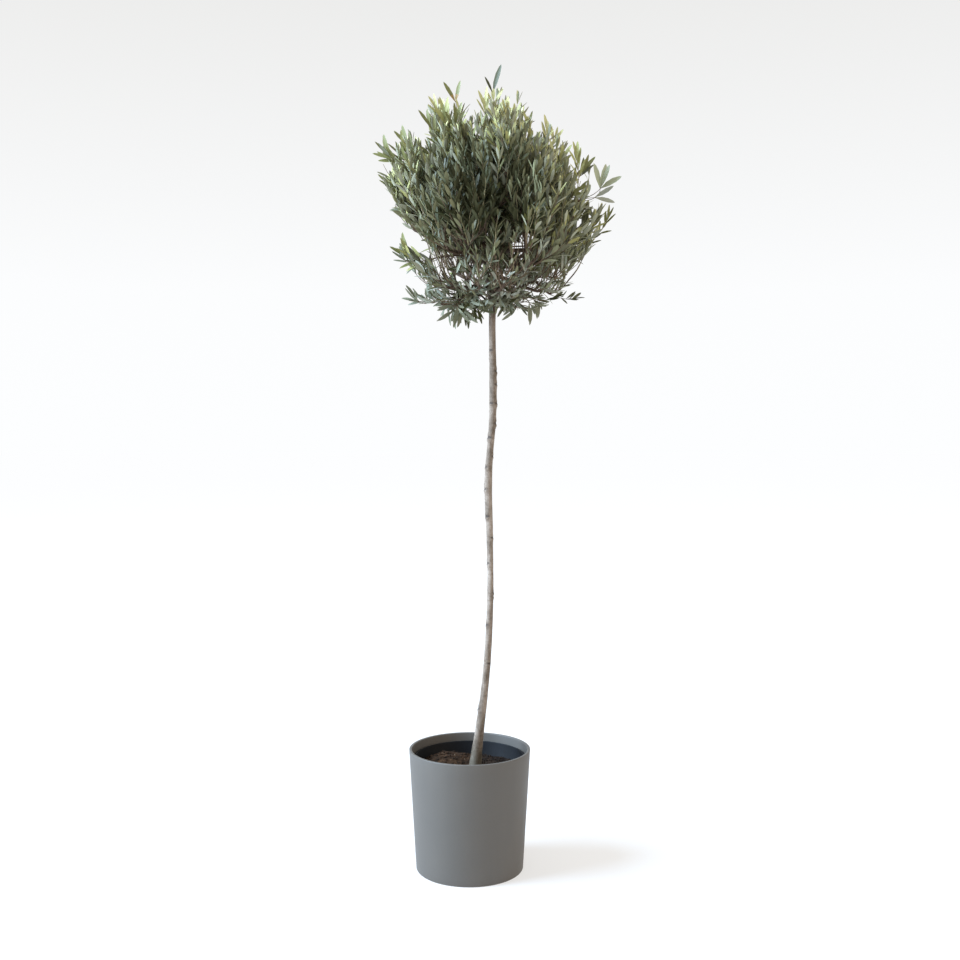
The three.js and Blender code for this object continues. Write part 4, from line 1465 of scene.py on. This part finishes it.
def make_floor():
    """A wide pale floor that glows a little more the further off."""
    look = Look("floor_pale", (156, 156, 156), 0.95, Specular_IOR_Level=0.0)
    away = look.node("ShaderNodeVectorMath", operation="LENGTH")
    look.join(look.place(), away.inputs[0])
    far = look.range(away.outputs["Value"], NEAR, FAR, 0, 1)
    tint = look.ramp(far, [(0, FLOOR_TINT), (1, FAR_TINT)])
    look.join(tint, look.shader.inputs["Emission Color"])
    look.join(look.range(far, 0, 1, FLOOR_GLOW, FAR_GLOW), look.shader.inputs["Emission Strength"])
    look.roughness(look.range(look.noise(look.place(), 2.0, 2), 0.3, 0.7, 0.92, 0.98))
    mesh = bpy.data.meshes.new("floor")
    angles = [2 * math.pi * k / FLOOR_SIDES for k in range(FLOOR_SIDES)]
    ring = [(FLOOR_RADIUS * math.cos(a), FLOOR_RADIUS * math.sin(a), 0) for a in angles]
    mesh.from_pydata(ring, [], [tuple(range(FLOOR_SIDES))])
    mesh.materials.append(look.material)
    floor = bpy.data.objects.new("floor", mesh)
    bpy.context.scene.collection.objects.link(floor)


def make_sky():
    """A white sky, a shade darker overhead."""
    world = bpy.data.worlds.new("studio")
    bpy.context.scene.world = world
    world.use_nodes = True
    tree = world.node_tree
    direction = tree.nodes.new("ShaderNodeTexCoord")
    parts = tree.nodes.new("ShaderNodeSeparateXYZ")
    sky = tree.nodes.new("ShaderNodeValToRGB")
    sky.color_ramp.elements.new(SKY[1][0])
    for element, (position, colour) in zip(sky.color_ramp.elements, SKY):
        element.position, element.color = position, linear(colour)
    tree.links.new(direction.outputs["Generated"], parts.inputs[0])
    tree.links.new(parts.outputs["Z"], sky.inputs["Fac"])
    tree.links.new(sky.outputs["Color"], tree.nodes["Background"].inputs["Color"])


def make_studio():
    """The floor and sky, a large cool key from the left and a faint warm fill."""
    make_floor()
    make_sky()
    area_light("key", *KEY)
    area_light("fill", *FILL)
    bpy.context.scene.view_settings.view_transform = "Standard"


def make_camera():
    data = bpy.data.cameras.new("camera")
    camera = bpy.data.objects.new("camera", data)
    camera.location = EYE
    camera.rotation_euler = (math.radians(90 - CAMERA_TILT), 0, 0)
    data.sensor_width, data.lens = CAMERA_SENSOR, CAMERA_LENS
    data.clip_start, data.clip_end = 0.05, 200
    bpy.context.scene.collection.objects.link(camera)
    bpy.context.scene.camera = camera


# ---------------------------------------------------------------- the tree


def leader_and_boughs(masses):
    """Each bough's line from inside its parent to its mass."""
    lines = {}
    leader_goal = next(m for m in masses if m.name == LEADER).centre
    path, radii = bough_line(LEADER, leader_goal)
    trunk, trunk_radii = trunk_line()
    stem_path = np.concatenate([trunk, path])
    path = np.concatenate([trunk[-2:-1], path])
    lines[LEADER] = path, np.concatenate([trunk_radii[-2:-1] * 0.93, radii])
    for m in masses:
        if m.name == LEADER:
            continue
        path, radii = bough_line(m.name, m.centre)
        back = unit(path[0] - path[2])
        near = np.linalg.norm(stem_path - path[0], axis=1).min()
        start = path[0] + back * max(near - 1 * MM, 6 * MM)
        lines[m.name] = np.concatenate([[start], path]), np.concatenate([radii[:1] * 1.1, radii])
    for name, (path, radii) in lines.items():
        ahead = path[-1] + unit(path[-1] - path[-2]) * 6 * MM
        path, _ = resample(np.concatenate([path, [ahead]]), np.append(radii, radii[-1]), 6 * MM)
        shares = np.linspace(0, 1, len(path))
        lines[name] = smoothed(path, 3), np.interp(shares, np.linspace(0, 1, len(radii)), radii)
    return lines


def make_tree():
    # The trunk bark's last colour is painted shade, darker towards the crown
    trunk_bark = bark_look(
        "bark_trunk", (157, 144, 132), (129, 115, 102), (88, 75, 61), young=(92, 76, 59))
    bough_bark = bark_look("bark_bough", (104, 88, 72), (86, 70, 55), (68, 53, 40))
    masses = [Mass(name) for name in MASS_NAMES]
    lines = leader_and_boughs(masses)
    make_trunk(trunk_bark, lines[LEADER])
    make_boughs(bough_bark, lines)
    networks, crown_centre, crown = grow_crown(masses, lines)
    names, leaf_materials = leaf_looks()
    TONES.update({n: i for i, n in enumerate(names)})
    twig_materials = twig_looks()
    rng = np.random.default_rng(SEED + 9)
    for mass, network in networks.items():
        table = []
        for limb in network.limbs:
            table.extend(Spray(limb, crown_centre, crown, rng).leaves())
        twigs_piece(mass.name, network, twig_materials)
        leaves_piece(mass.name, table, leaf_materials)


def make_planter():
    make_pot(pot_look())
    inner_rim, slope = make_liner(liner_look())
    trunk, _ = trunk_line()
    level = trunk[0][2]
    _, liner_top = heights_of("liner")
    edge = inner_rim - slope * (liner_top - level) - SOIL_GAP
    soils = [
        soil_look("compost_brown", (28, 19, 12), (56, 39, 25), (80, 58, 40)),
        soil_look("compost_dark", (18, 13, 9), (36, 26, 18), (54, 41, 31)),
        soil_look("grain_pale", (130, 120, 106), (162, 152, 138), (186, 178, 166)),
    ]
    make_soil(soils[0], level, edge, slope)
    scatter_crumbs(soils, level, edge, trunk[0])


make_camera()
make_studio()
make_planter()
make_tree()
